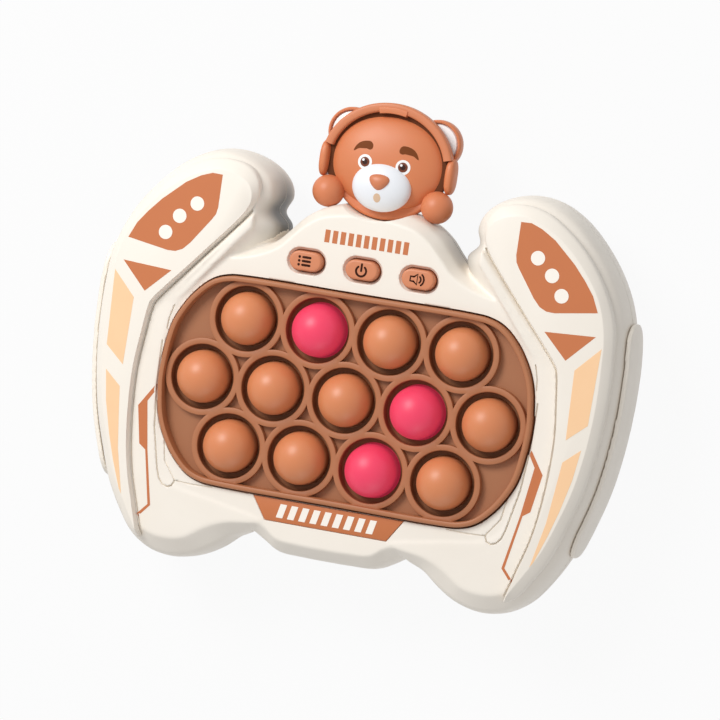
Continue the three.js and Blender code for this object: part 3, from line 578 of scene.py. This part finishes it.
def casing_rings(lines, face_z, back_z, steps):
    """Rings from the face edge, down the bevel to the widest line and round a quarter ellipse to the back."""
    wall, face, back = lines
    rings = [(face + (wall - face) * across, face_z + (PARTING - face_z) * down) for across, down in BEVEL]
    for t in np.linspace(0, pi / 2, steps)[1:]:
        share = 1 - cos(t)
        rings.append((wall + (back - wall) * share, PARTING + (back_z - PARTING) * sin(t)))
    return rings


def handle_lines(side, steps):
    wall, face, spine = (smooth(placed(s, side), steps) for s in (HANDLE_WALL, HANDLE_FACE, HANDLE_SPINE))
    return wall, face, wall + (spine - wall) * SPINE_SHARE


def centre_lines(steps):
    return [smooth(placed(mirrored(s)), steps) for s in (CENTRE_WALL, CENTRE_FACE, CENTRE_BACK_LINE)]


def casing_parts(grow=0, steps=8, levels=12):
    """Centre, right handle and left handle as closed solids, grown or shrunk by a distance."""
    forms = [(centre_lines(steps), 0, CENTRE_BACK)]
    forms += [(handle_lines(side, steps), FACE_STEP, HANDLE_BACK) for side, _ in SIDES]
    pieces = []
    for lines, face_z, back_z in forms:
        rings = casing_rings(lines, face_z + grow, back_z - grow, levels)
        pieces.append(loft("casing_part", [(grown(ring, grow), z) for ring, z in rings]))
    return pieces


def side_parts(side, grow):
    """Centre and the handle on one side, grown by a distance."""
    centre, right, left = casing_parts(grow)
    drop(left if side > 0 else right)
    return centre, right if side > 0 else left


# Rounded top edge of the rail: distances in from its side and down from its top
RAIL_EDGE = [(1.1, 0), (0.6, 0.12), (0.2, 0.45), (0, 0.9)]
RAIL_SINK = 1
RAIL_LOW_SHARE = 0.35
RAIL_RUN = (0.27 * REACH, 0.6 * REACH)


def rail(side):
    """Bar beside the plate, high at its top end and level with the face at the other."""
    base = placed(RAIL, side)
    rings = [(grown(base, -inset), RAIL_RISE - fall) for inset, fall in RAIL_EDGE]
    bar = loft("rail", rings + [(base, -RAIL_SINK)])
    start, end = RAIL_RUN
    foot = ORIGIN.z - RAIL_SINK * MM
    for vertex in bar.data.vertices:
        y = (vertex.co.y - ORIGIN.y) / MM
        share = RAIL_LOW_SHARE + (1 - RAIL_LOW_SHARE) * min(max((y - start) / (end - start), 0), 1)
        vertex.co.z = foot + (vertex.co.z - foot) * share
    return bar


def oval(grow, angles=np.linspace(0, 2 * pi, 96, endpoint=False)):
    """Widest line of the head, grown by a distance."""
    return curve(angles, HEAD_HALF[0] + grow, HEAD_HALF[1] + grow, 0, HEAD_Y)


def head_form(name, grow=0):
    return ball(name, np.array(HEAD_HALF) + grow, HEAD_MIDDLE, 96, 48)


def head_seat(grow):
    """What the head needs to itself: its own form, and the way in to it from the front."""
    return combine(head_form("form", grow), "UNION", prism("way", oval(grow), HEAD_Z, 6))


def slab(low_z, high_z, half=150):
    return box("slab", (-half, -half, low_z), (half, half, high_z))


def hollow(node):
    """The room inside a shell, round the bosses and walls that its CAD node has."""
    centre, right, left = casing_parts(-WALL, steps=1, levels=4)
    room = combine(centre, "UNION", right, left)
    return cut(room, head_seat(GAP + WALL), copied(node))


def tongue_slot():
    """Room between the shells for the tongue under the bear's head."""
    return box("tongue_slot", (-6.3, 49.4, -18.2), (6.3, 60, -14.4))


# Fine lines in the face beside the pad, the first round a drop-shaped end
GROOVE = [
    (60.4, 9), (60.2, -5), (59, -18), (56.3, -30.5), (55.3, -33.4), (53.9, -35), (52.3, -35.6), (50.9, -35),
    (50.2, -33.4),
]
INNER_GROOVE = [(50.2, -33.2), (51.5, -31.4), (54.3, -27.6), (55.5, -20), (56.4, -14)]
CREASE = [(50.4, -33.3), (44, -33.6), (38, -33.4)]
RAIL_GROOVE = [(58, 20.6), (59.1, 16.5), (59.4, 13)]
# Each with its width and its depth
FACE_LINES = [(GROOVE, 0.5, 0.8), (INNER_GROOVE, 0.4, 0.5), (CREASE, 0.35, 0.4), (RAIL_GROOVE, 0.35, 0.5)]
LABEL = np.array([(-24.2, -33.4), (-19.6, -40.3), (19.6, -40.3), (24.2, -33.4)])
BUTTON_XS = [k * BUTTON_PITCH for k in (-1, 0, 1)]
# Button socket from the face down: distance out from the button and height
SOCKET = [(1.4, 1), (1.15, 0.02), (1.05, -0.3), (0.7, -0.9), (0.5, -1.1), (0.5, -12)]


def button_outline(grow, x):
    return stadium(BUTTON_HALF[0] + grow, BUTTON_HALF[1] + grow, x, BUTTON_Y, 16)


def front_shell(whole):
    case = combine(linked("front_case", whole.data.copy()), "INTERSECT", slab(PARTING, 20))
    cut(case, hollow("front_shell"), head_seat(GAP), tongue_slot())
    cut(case, prism("opening", pad_outline(2 * GAP), -12, 10))
    for x in BUTTON_XS:
        cut(case, loft("socket", [(button_outline(grow, x), z) for grow, z in SOCKET]))
    cut(case, prism("label_seat", grown(LABEL, 0.2), -0.5, 4))
    for side, _ in SIDES:
        for line, width, depth in FACE_LINES:
            cut(case, prism("groove", stroke(flipped(line, side), width), -depth, 4))
        cut(case, plate_gap(side))
    finish(case, cream, replaces=["front_shell"])
    # Painted shade on the handles' inner ends beside the hump
    paint(case, cream_painted_shade, in_painted_shade)
    return case


def paint(piece, look, inside):
    """Second material, a painted shade, on the faces whose middle is inside."""
    piece.data.materials.append(look)
    for face in piece.data.polygons:
        if inside(*(face.center - ORIGIN) / MM):
            face.material_index = 1


# Inner edge of the painted shade on the handles: heights up the part and distances from its middle
RECESS_YS = [42, 45.5, 50, 56]
RECESS_XS = [37, 31.5, 28.5, 27]


def in_painted_shade(x, y, _):
    """Where the handles turn in beside the hump, and take the painted shade."""
    return y > RECESS_YS[0] and abs(x) > np.interp(y, RECESS_YS, RECESS_XS)


SCREWS = [f"case_screw_{k}" for k in range(1, 7)]


def corners_of(node, grow=0):
    """A CAD node's lowest and highest corner in millimetres, in the part's own frame."""
    low_corner, high_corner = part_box(node)
    return ([(low_corner[k] - ORIGIN[k]) / MM - grow for k in range(3)],
            [(high_corner[k] - ORIGIN[k]) / MM + grow for k in range(3)])


def centre_of(node):
    return [(start + end) / 2 for start, end in zip(*corners_of(node))]


# Half width of the door's screw tab
TAB_HALF = 4.5


def door_seat():
    """The door's recess: its plate, its screw tab and the way in from behind."""
    (x0, y0, z0), (x1, y1, z1) = corners_of("battery_door", GAP)
    tab_y = centre_of("battery_door_screw")[1]
    half_tab = TAB_HALF + GAP
    behind = z0 - 3
    plate = box("seat", (x0, y0, behind), (-x0, y1, z1))
    tab = box("tab", (0, tab_y - half_tab, behind), (x1, tab_y + half_tab, z1))
    return combine(plate, "UNION", tab)


# Pocket of a case screw and hole of the door's screw, towards the back: radii and heights
SCREW_POCKET = [
    (0, -28), (1.2, -28), (1.2, -31), (2.7, -31), (2.7, -37.4), (3.2, -38.1), (3.2, -45), (0, -45),
]
DOOR_HOLE = [(0, -20.1), (1.2, -20.1), (1.2, -31), (0, -31)]
SLOT_COUNT = 5
SLOT_PITCH = 3.2


def rear_shell(whole):
    case = combine(linked("rear_case", whole.data.copy()), "INTERSECT", slab(-60, PARTING - GAP))
    cut(case, hollow("rear_shell"), door_seat(), tongue_slot(), head_seat(GAP))
    for node in SCREWS:
        x, y, _ = centre_of(node)
        cut(case, lathe("pocket", SCREW_POCKET, x, y, 32))
    x, y, _ = centre_of("battery_door_screw")
    cut(case, lathe("door_hole", DOOR_HOLE, x, y, 24))
    middle = centre_of("speaker")[1]
    for k in range(SLOT_COUNT):
        y = middle + (k - SLOT_COUNT // 2) * SLOT_PITCH
        cut(case, prism("slot", stadium(5.75, 0.8, 0, y), -34, -26))
    finish(case, cream, replaces=["rear_shell"])
    # Painted shade on the handles' inner ends beside the hump
    paint(case, cream_painted_shade, in_painted_shade)


# Rim of the plate from its flat top to its foot: shares of the way across and of the height
COVER_RIM = [
    (1, 1), (0.97, 0.995), (0.92, 0.975), (0.24, 0.56), (0.12, 0.47), (0.04, 0.37), (0, 0.22), (0, 0),
]
COVER_TIP = COVER_BASE.index((686, -751))
SLIT_WIDTH = 0.5
SLIT_DEPTH = 0.7


def plate_gap(side):
    """Slit in the shell along the inner edge of the plate, from just past its lower tip to its upper end."""
    steps = 8
    edge = grown(smooth(placed(COVER_BASE, side), steps), GAP)
    line = np.concatenate([edge[COVER_TIP * steps + 2:], edge[:1]])
    return prism("plate_gap", stroke(line, SLIT_WIDTH), -SLIT_DEPTH, 5)


# The door's edge and one thumb groove: distance out and height over the door's back
DOOR_EDGE = [(0, 0.5), (-0.15, 0.15), (-0.5, 0)]
THUMB_GROOVE = [(-0.2, 0.6), (0, 0.4), (0, -1)]
THUMB_GROOVES = 5
THUMB_PITCH = 2.1


def battery_door():
    """The door as in CAD, with softened edges and grooves for a thumb."""
    (x0, y0, z0), (x1, y1, z1) = corners_of("battery_door")
    tab_x, tab_y, _ = centre_of("battery_door_screw")
    half_tab = x1 - tab_x
    tab_low, tab_high = tab_y - half_tab, tab_y + half_tab
    outline = np.array([(x0, y0), (-x0, y0), (-x0, tab_low), (x1, tab_low), (x1, tab_high), (-x0, tab_high),
                        (-x0, y1), (x0, y1)])
    rings = [(grown(outline, grow), z0 + rise) for grow, rise in DOOR_EDGE]
    door = loft("door", [(outline, z1)] + rings)
    for k in range(THUMB_GROOVES):
        bar = stadium(7, 0.5)[:, ::-1] + (x0 + 6 + THUMB_PITCH * k, tab_y)
        cut(door, loft("groove", [(grown(bar, grow), z0 + rise) for grow, rise in THUMB_GROOVE]))
    out, seat, inside = z0 - 1, z0 + 0.8, z1 + 1
    hole = [(0, out), (2.7, out), (2.7, seat), (1.2, seat), (1.2, inside), (0, inside)]
    cut(door, lathe("hole", hole, tab_x, tab_y, 48))
    finish(door, cream, "battery_door", replaces=["battery_door"])


def screw(node, body):
    """Pan head with a cross recess, on a plain shank."""
    (x0, _, z0), (x1, _, z1) = corners_of(node)
    radius = (x1 - x0) / 2
    x, y, _ = centre_of(node)
    profile = [(0, z0), (radius - 0.9, z0 + 0.02), (radius - 0.35, z0 + 0.15), (radius - 0.08, z0 + 0.45),
               (radius, z0 + 0.75), (radius, z0 + 1.05), (0.9, z0 + 1.05), (0.9, z1 - 0.8), (0, z1)]
    piece = lathe(node + "_cross", profile, x, y, 48)
    for half_x, half_y in ((1.5, 0.3), (0.3, 1.5)):
        cut(piece, box("slot", (x - half_x, y - half_y, z0 - 1), (x + half_x, y + half_y, z0 + 0.7)))
    finish(piece, steel, body, [node])


def handle_cover(side, name):
    base, top = (smooth(placed(s, side), 8) for s in (COVER_BASE, COVER_TOP))
    height = COVER_RISE + COVER_SKIRT
    rings = [(base + (top - base) * across, -COVER_SKIRT + height * up) for across, up in COVER_RIM]
    cover = loft(name + "_cover_plate", rings + [(base, -COVER_SKIRT - 4)])
    cut(cover, *side_parts(side, GAP))
    return finish(cover, cream, replaces=[name + "_handle_cover"])


# Opposite corners of a side grip's outline, seen from the side in Y and Z
GRIP_LOW = (-37, -25)
GRIP_HIGH = (36.6, -6)
GRIP_CORNER = 8
GRIP_SPAN = (69, 95)
GRIP_RISE = 1.7


def grip_window(side):
    """Block along X with rounded corners that cuts the grip to its outline."""
    edge = rounded_rectangle(GRIP_LOW, GRIP_HIGH, GRIP_CORNER, 9)
    return tube("window", [(side * x, y, z) for x in GRIP_SPAN for y, z in edge], len(edge))


def side_grip(side, name):
    skins = []
    for grow in (GRIP_RISE, GAP):
        centre, handle = side_parts(side, grow)
        drop(centre)
        skins.append(handle)
    skin = cut(*skins)
    combine(skin, "INTERSECT", grip_window(side))
    skin.name = name + "_grip_pad"
    remesh(skin, 0.4, 4)
    finish(skin, cream, replaces=[name + "_side_grip"])


# Pad frame, keys and buttons
KEY_PLACES = [((column - (count - 1) / 2) * KEY_PITCH, (1 - row) * ROW_STEP)
              for row, count in enumerate(ROWS) for column in range(count)]


def pad_frame():
    floor = -FLOOR_DROP
    rim = [
        (0, -FRAME_DEPTH), (0, RIM_RISE - 0.8), (-0.08, RIM_RISE - 0.4), (-0.3, RIM_RISE - 0.1),
        (-0.6, RIM_RISE), (-1.2, RIM_RISE), (-1.5, RIM_RISE - 0.15), (-1.65, RIM_RISE - 0.5),
        (-1.75, floor + 0.3), (-2, floor),
    ]
    body = loft("pad_frame", [(pad_outline(grow, 8), z) for grow, z in reversed(rim)])
    combine(body, "UNION", prism("flange", pad_outline(2.5), -3.8, -2.3))
    inner, outer = CUP_RADIUS, LIP_RADIUS
    lip = [
        (inner - 1, -4), (inner - 1, -0.2), (inner + 0.02, -0.25), (inner + 0.1, -0.08), (inner + 0.25, 0),
        (outer - 0.22, 0), (outer - 0.07, -0.06), (outer, -0.22), (outer + 0.03, floor + 0.15),
        (outer + 0.18, floor - 0.02), (outer + 0.18, -4),
    ]
    cup = [
        (0, 5), (inner, 5), (inner, -3.7), (inner - 0.3, -4), (HOLE_RADIUS, -4), (HOLE_RADIUS, -8), (0, -8),
    ]
    for operation, profile in (("UNION", lip), ("DIFFERENCE", cup)):
        for x, y in KEY_PLACES:
            combine(body, operation, lathe("cup", profile, x, y, 96))
    finish(body, brown, replaces=["bubble_frame"], angle=40)
    # Painted shade on the walls and floors of the cups
    paint(body, cup_shade_brown, in_cup)


def in_cup(x, y, z):
    """On the wall or the floor of the cup round a key, where the shade is painted."""
    nearest = min((x - key_x) ** 2 + (y - key_y) ** 2 for key_x, key_y in KEY_PLACES)
    return z < -0.3 and nearest < (CUP_RADIUS + 0.01) ** 2


def keys():
    profile = [(0, DOME_RADIUS - DOME_DROP)]
    for t in np.linspace(0, pi / 2, 20)[1:]:
        profile.append((DOME_RADIUS * sin(t), DOME_RADIUS * cos(t) - DOME_DROP))
    top, foot = -FRAME_DEPTH - GAP, -6.5
    profile += [(DOME_RADIUS, top + 0.2), (DOME_RADIUS + 0.2, top), (FLANGE_RADIUS, top)]
    profile += [(FLANGE_RADIUS, foot), (0, foot)]
    for index, (x, y) in enumerate(KEY_PLACES, 1):
        number = f"{index:02d}"
        node = "bubble_" + number
        look, slot = (key_lit, "lit_key") if number in LIT else (key_brown, "brown_key")
        finish(lathe("dome_" + number, profile, x, y), look, node, [node])


# Height from which a print is dropped onto its surface
RAY_START = 60


def print_on(name, outlines, surface, look, body="root", lift=0.05, sink=0.1, grid=1.2):
    """Thin printed areas that follow the front of a surface, as one piece."""
    tree = BVHTree.FromObject(surface, bpy.context.evaluated_depsgraph_get())
    down = Vector((0, 0, -1))
    points, faces = [], []
    for outline in outlines:
        edge = []
        for a, b in zip(outline, np.roll(outline, -1, 0)):
            count = max(1, int(np.ceil(np.linalg.norm(b - a) / grid)))
            edge += [tuple(a + (b - a) * k / count) for k in range(count)]
        low_x, low_y = np.min(edge, 0) + grid / 2
        high_x, high_y = np.max(edge, 0)
        inside = [(x, y) for x in np.arange(low_x, high_x, grid) for y in np.arange(low_y, high_y, grid)]
        flat, _, triangles, *_ = geometry.delaunay_2d_cdt(
            [Vector(p) for p in edge + inside], [], [tuple(range(len(edge)))], 1, 1e-6)
        used = sorted({k for triangle in triangles for k in triangle})
        index = {k: i for i, k in enumerate(used)}
        skin = []
        for k in used:
            x, y = flat[k]
            hit = tree.ray_cast(Vector((x, y, RAY_START)) * MM + ORIGIN, down)[0]
            skin.append((x, y, (hit.z - ORIGIN.z) / MM if hit else 0))
        base = len(points)
        count = len(skin)
        points += [(x, y, z + lift) for x, y, z in skin] + [(x, y, z - sink) for x, y, z in skin]
        rims = {}
        for triangle in triangles:
            a, b, c = (base + index[k] for k in triangle)
            faces.append((a, b, c))
            faces.append((count + c, count + b, count + a))
            rims.update(dict.fromkeys(((a, b), (b, c), (c, a))))
        faces += [(v, u, count + u, count + v) for u, v in rims if (v, u) not in rims]
    finish(make(name, points, faces), look, body, angle=60)


# Function buttons
def function_buttons():
    icons = {"menu": menu_icon, "power": power_icon, "sound": sound_icon}
    rings = [(1.1, -3.3), (1.1, -2.65), (0.95, -2.6), (0.02, -2.6), (0, BUTTON_TOP - BUTTON_CROWN)]
    for t in np.linspace(0, pi / 2, 7)[1:]:
        rings.append((-BUTTON_CROWN * (1 - cos(t)), BUTTON_TOP - BUTTON_CROWN * (1 - sin(t))))
    rings.append((-1.7, BUTTON_TOP))
    for x, (name, icon) in zip(BUTTON_XS, icons.items()):
        body = name + "_button"
        cap = loft(name + "_cap", [(button_outline(grow, x), z) for grow, z in rings])
        finish(cap, button_brown, body, [body], 50)
        print_on(name + "_icon", icon(x, BUTTON_Y), cap, dark, body, grid=0.5)


def menu_icon(x, y):
    marks = []
    for row in (y - 1.2, y, y + 1.2):
        marks += [disc(0.42, x - 1.95, row, 16), stadium(1.5, 0.36, x + 0.35, row, 6)]
    return marks


def power_icon(x, y):
    return [stroke(arc(1.6, 130, 410, x, y - 0.25), 0.65), stroke([(x, y - 0.2), (x, y + 1.9)], 0.65)]


def sound_icon(x, y):
    box_line = [(-1.2, -0.7), (-2.3, -0.7), (-2.3, 0.7), (-1.2, 0.7)]
    horn = [(-1.2, -0.7), (-0.1, -1.6), (-0.1, 1.6), (-1.2, 0.7)]
    marks = [stroke(np.array(line) + (x, y), 0.55) for line in (box_line, horn)]
    return marks + [stroke(arc(radius, -50, 50, x - 0.1, y, 9), 0.55) for radius in (1.15, 2.1)]


# Plate under the pad, and rows of plain bars
def slanted_bars(xs, low_y, high_y, width, lean=0):
    """A bar at each x, its foot to the left and its head to the right by the lean."""
    return [np.array([(x - width / 2 - lean, low_y), (x + width / 2 - lean, low_y),
                      (x + width / 2 + lean, high_y), (x - width / 2 + lean, high_y)]) for x in xs]


# Rounded edge of the plate under the pad: distance out and height
LABEL_EDGE = [(0, -0.5), (0, 0), (-0.1, 0.2), (-0.35, 0.3)]


def label_plate():
    rings = [(grown(LABEL, grow), z) for grow, z in LABEL_EDGE]
    plate = finish(loft("name_plate", rings), print_brown, replaces=["label_plate"])
    bars = slanted_bars(np.linspace(-14.5, 14.5, 9), low_y=-39, high_y=-34.7, width=2.1, lean=0.5)
    print_on("plate_marks", bars, plate, print_cream)


def hump_marks(case):
    bars = slanted_bars(np.linspace(-12.6, 12.6, 11), low_y=47.1, high_y=51, width=1.6)
    print_on("hump_marks", bars, case, print_brown, grid=0.8)


# Printed panels
DOTS = [(54.5, 52.7), (59.6, 48.1), (63.4, 42.5)]
PANEL = [
    (75.2, 39.2), (62, 37.1), (59.4, 37.2), (57.2, 38.2), (55, 40.5), (49.2, 48.6), (48.1, 50.4),
    (47.7, 52.5), (47.7, 62.7), (51, 62.8), (54.5, 61.5), (59, 58.8), (66, 52.5), (70, 48), (73, 44),
]
ARROW = [(75.7, 32), (59.8, 31.1), (67.5, 23.5)]
UPPER_BLADE = [(78, 28.7), (70.7, 21), (71.2, -0.2), (77.3, 5.2)]
LOWER_BLADE = [
    (76.4, -2.4), (71.2, -7), (70.2, -16), (69, -26), (67, -35), (65.9, -40), (66.9, -38.4), (70, -30),
    (72.5, -22), (75, -12),
]
TRACE = [
    (60.3, -4.6), (65.2, -12.1), (63.1, -23.8), (60.9, -25.4), (57.7, -42), (61.2, -46), (60.5, -46.5),
    (56.8, -42.2), (60.2, -25.2), (62.4, -10.3), (60.2, -6.6),
]


def printed_panels(covers, case):
    for side, name in SIDES:
        cover = covers[side]
        print_on(name + "_panel", [flipped(PANEL, side)], cover, print_brown, grid=1)
        dots = [disc(2.2, side * x, y) for x, y in DOTS]
        print_on(name + "_dots", dots, cover, print_cream, lift=0.1, grid=1)
        print_on(name + "_arrow", [flipped(ARROW, side)], cover, print_brown, grid=1)
        blades = [flipped(UPPER_BLADE, side), flipped(LOWER_BLADE, side)]
        print_on(name + "_blades", blades, cover, print_peach, grid=1)
        print_on(name + "_trace", [flipped(TRACE, side)], case, print_brown, grid=0.8)


# Bear
FACE_HALF = (18.4, 15.5, 6.6)
FACE_MIDDLE = (0, HEAD_Y + 0.5, HEAD_Z)


def full_face(unit):
    """Cheeks a little fuller than an ellipse, over a shorter chin."""
    points = unit.copy()
    points[:, :2] = np.sign(unit[:, :2]) * np.abs(unit[:, :2]) ** 0.95
    points[:, 1] *= np.where(unit[:, 1] < 0, 0.9, 1)
    return points


def face_form():
    return ball("form", FACE_HALF, FACE_MIDDLE, 96, 48, full_face)


# Rounded rim of the head's front half: distance out from its widest line and height
HEAD_RIM = [(0, HEAD_Z + GAP / 2), (0, -12), (-0.15, -11.55), (-0.5, -11.25), (-1, -11.2), (-2, -11.5)]


def head():
    face = loft("face", [(oval(grow), z) for grow, z in HEAD_RIM])
    combine(face, "UNION", combine(face_form(), "INTERSECT", slab(HEAD_Z + GAP / 2, 20)))
    finish(face, bear_brown, replaces=["bear_head_front"])
    rear = combine(head_form("head_back"), "INTERSECT", slab(-60, HEAD_Z))
    finish(rear, bear_brown, replaces=["bear_head_rear"])
    return face


def muzzle():
    piece = ball("snout", (9.4, 7.6, 4.4), (0, 66, -8), 64, 40)
    cut(piece, face_form())
    return finish(piece, muzzle_white, replaces=["bear_muzzle"])


def nose():
    def rounded_triangle(unit):
        points = unit.copy()
        points[:, 0] *= 1 + 0.28 * unit[:, 1]
        points[:, 1] -= 0.12 * (1 - unit[:, 0] ** 2)
        return points

    piece = ball("nose", (3.1, 2.5, 1.7), (0, 67.8, -4.1), 48, 24, rounded_triangle)
    finish(piece, nose_brown, replaces=["bear_nose"])


# Outer ear and its white dish: radii, and heights over the ear's rim
EAR_Z = -13.6
EAR = [
    (0, -2), (6, -2), (6.45, -1.6), (6.55, -0.4), (6.75, -0.05), (7.1, 0), (7.45, -0.35), (7.6, -1.1),
    (7.6, -3.6), (7.3, -4.3), (6.8, -4.5), (0, -4.5),
]
EAR_DISH = [(0, -0.2), (3, -0.22), (5, -0.35), (6.1, -0.6), (6.45, -1.2), (6, -2), (0, -2)]


def ear(side, name):
    def part(kind, profile, steps):
        rings = [(radius, EAR_Z + rise) for radius, rise in profile]
        return cut(lathe(name + kind, rings, side * 13.8, 81.3, steps), head_form("head_form", 0.02))

    finish(part("_ear_shell", EAR, 72), bear_brown, replaces=[name + "_ear"])
    finish(part("_ear_lining", EAR_DISH, 56), white, replaces=[name + "_ear_inner"])


def bow(name, section, start, end, steps):
    """Section (distance out from the head's outline, z) swept round the top of the head."""
    angles = np.linspace(start, end, steps) * pi
    lines = [np.column_stack([oval(grow, angles), np.full(steps, z)]) for grow, z in section]
    return tube(name, np.stack(lines, 1).reshape(-1, 3), len(section))


def rounded_box(unit):
    return np.sign(unit) * np.abs(unit) ** 0.75


def headphones():
    """Each bow runs between two shares of a half turn, counted from the right."""
    band = bow("head_band", rounded_rectangle((GAP, -13), (3.05, -8.8), 0.8, 5), 0.08, 0.92, 96)
    finish(band, band_brown, replaces=["headphone_band"])
    pad = bow("band_pad", rounded_rectangle((-0.2, -12.8), (1.7, -8.5), 0.3, 5), 0.425, 0.575, 16)
    finish(pad, bear_brown)
    # Dark strip under the band that stands in for the shade between band and face
    gap_shade = bow("band_gap_shade", rounded_rectangle((-1.4, -12.8), (1.2, -10.8), 0.2, 5), -0.15, 1.15, 108)
    finish(gap_shade, band_gap_shade_brown)
    for side, name in SIDES:
        cup = ball(name + "_cup", (1.65, 5.6, 3.8), (side * 20.15, 72.2, -12.2), 64, 32, rounded_box)
        finish(cup, bear_brown, replaces=[name + "_ear_cup"])
        paw = ball(name + "_hand", (5, 5, 5), (side * 17.5, 62.3, -10.9), 64, 32)
        finish(paw, paw_brown, replaces=[name + "_paw"])


BROW = [
    (10.4, 75.9), (10, 77.2), (8.7, 78.7), (6.9, 79.4), (5.1, 79.4), (4.3, 78.4), (4.4, 77.3), (5.3, 76.9),
    (6.1, 77.1), (7.4, 77), (8.8, 76.8),
]


def face_prints(face, snout):
    for side, name in SIDES:
        x, y = side * 6.1, 73
        marks = [
            ("_eye_white", disc(2.3, x, y), white, 0.06, 0.6, "white_trim"),
            ("_iris", disc(1.5, x, y), iris_brown, 0.12, 0.5, "dark_brown"),
            ("_pupil", disc(0.85, x, y), pupil_dark, 0.16, 0.4, "dark_brown"),
            ("_glint", disc(0.4, x - 0.55, y + 0.6, 16), white, 0.2, 0.4, "white_trim"),
            ("_brow", smooth(flipped(BROW, side), 4), brow_brown, 0.06, 0.6, "dark_brown"),
        ]
        for part, outline, look, lift, grid, slot in marks:
            print_on(name + part, [outline], face, look, lift=lift, grid=grid)
    mouth = disc(1) * (1.15, 1.4) + (0, 62.7)
    print_on("mouth", [mouth], snout, mouth_tan, lift=0.06, grid=0.5)


# Build
blank = remesh(merged("casing", *casing_parts(), rail(1), rail(-1)), 0.5, 5)
front_case = front_shell(blank)
rear_shell(blank)
drop(blank)
covers = {side: handle_cover(side, name) for side, name in SIDES}
for side, name in SIDES:
    side_grip(side, name)
    ear(side, name)
battery_door()
screw("battery_door_screw", "battery_door")
for node in SCREWS:
    screw(node, "root")
pad_frame()
keys()
function_buttons()
label_plate()
printed_panels(covers, front_case)
hump_marks(front_case)
bear_face = head()
snout = muzzle()
nose()
headphones()
face_prints(bear_face, snout)

# Pieces carried over from CAD: their mesh as it is, with a finer look
CARRIED = {"game_board": board_green, "button_board": board_green, "speaker": steel, "speaker_ring": black}
CARRIED.update({f"battery_{k}": wrap for k in (1, 2, 3)})
for key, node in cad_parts.items():
    look = steel if key.startswith("battery_contact") else CARRIED.get(key)
    if look:
        for place in node.material_slots:
            place.material = look

# Floor, light and camera
FLOOR_HALF = 6
floor_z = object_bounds()[0][2]
plane = bpy.data.meshes.new("floor")
floor_corners = [(x * FLOOR_HALF, y * FLOOR_HALF, floor_z) for x, y in ((-1, -1), (1, -1), (1, 1), (-1, 1))]
plane.from_pydata(floor_corners, [], [(0, 1, 2, 3)])
floor = linked("floor", plane)
ground = bpy.data.materials.new("floor_white")
ground.use_nodes = True
plane.materials.append(ground)
world = bpy.data.worlds.new("world")
scene.world = world
world.use_nodes = True


def seen_white(tree, output, lit, share):
    """Share of plain white mixed in for what the camera sees directly, mirrored or through glass."""
    nodes, links = tree.nodes, tree.links
    bright = nodes.new("ShaderNodeBackground" if output == "World Output" else "ShaderNodeEmission")
    bright.inputs["Color"].default_value = (1, 1, 1, 1)
    bright.inputs["Strength"].default_value = 1
    path = nodes.new("ShaderNodeLightPath").outputs
    seen = path["Is Camera Ray"]
    for kind in ("Is Glossy Ray", "Is Transmission Ray"):
        either = nodes.new("ShaderNodeMath")
        either.operation = "MAXIMUM"
        links.new(seen, either.inputs[0])
        links.new(path[kind], either.inputs[1])
        seen = either.outputs[0]
    part = nodes.new("ShaderNodeMath")
    part.operation = "MULTIPLY"
    links.new(seen, part.inputs[0])
    part.inputs[1].default_value = share
    mix = nodes.new("ShaderNodeMixShader")
    links.new(part.outputs[0], mix.inputs["Fac"])
    links.new(lit, mix.inputs[1])
    links.new(bright.outputs[0], mix.inputs[2])
    links.new(mix.outputs[0], nodes[output].inputs["Surface"])


diffuse = ground.node_tree.nodes["Principled BSDF"]
diffuse.inputs["Base Color"].default_value = (0.6, 0.6, 0.6, 1)
diffuse.inputs["Roughness"].default_value = 0.9
diffuse.inputs["Specular IOR Level"].default_value = 0
seen_white(ground.node_tree, "Material Output", diffuse.outputs["BSDF"], 0.93)
ambient = world.node_tree.nodes["Background"]
ambient.inputs["Color"].default_value = (0.97, 0.98, 1, 1)
ambient.inputs["Strength"].default_value = 0.53
seen_white(world.node_tree, "World Output", ambient.outputs["Background"], 1)

# Camera as calibrated on the rows of keys
LENS, YAW, TILT, ROLL = 216.3, radians(15.45), radians(4.74), radians(8.27)
away = Vector((sin(YAW) * cos(TILT), sin(TILT), cos(YAW) * cos(TILT)))
right = Vector((cos(YAW), 0, -sin(YAW)))
up = away.cross(right)
axis_x = cos(ROLL) * right + sin(ROLL) * up
axis_y = -sin(ROLL) * right + cos(ROLL) * up
shift = Vector((-0.217, -0.542, 57.55)) * KEY_PITCH
eye = -(axis_x * shift.x + axis_y * shift.y - away * shift.z)
camera_data = bpy.data.cameras.new("camera")
camera_data.lens = LENS
camera_data.sensor_width = 36
camera_data.clip_end = 20
turn = Matrix((axis_x, axis_y, away)).transposed().to_4x4()
scene.camera = linked("camera", camera_data)
scene.camera.matrix_world = Matrix.Translation(ORIGIN + eye * MM) @ turn


def lamp(name, direction, distance, size, power):
    """Soft square lamp that looks at the part from a direction in the camera's axes."""
    data = bpy.data.lights.new(name, "AREA")
    data.shape = "SQUARE"
    data.size = size
    data.energy = power
    x, y, z = direction
    way = (axis_x * x + axis_y * y + away * z).normalized()
    facing = way.to_track_quat("Z", "Y").to_matrix().to_4x4()
    linked(name, data).matrix_world = Matrix.Translation(ORIGIN + way * distance) @ facing


lamp("key_lamp", (-0.85, 0.9, 1.0), 0.9, 0.4, 5.6)
lamp("low_lamp", (0.1, -1.0, 0.35), 1.0, 0.5, 0.8)
scene.view_settings.view_transform = "Standard"
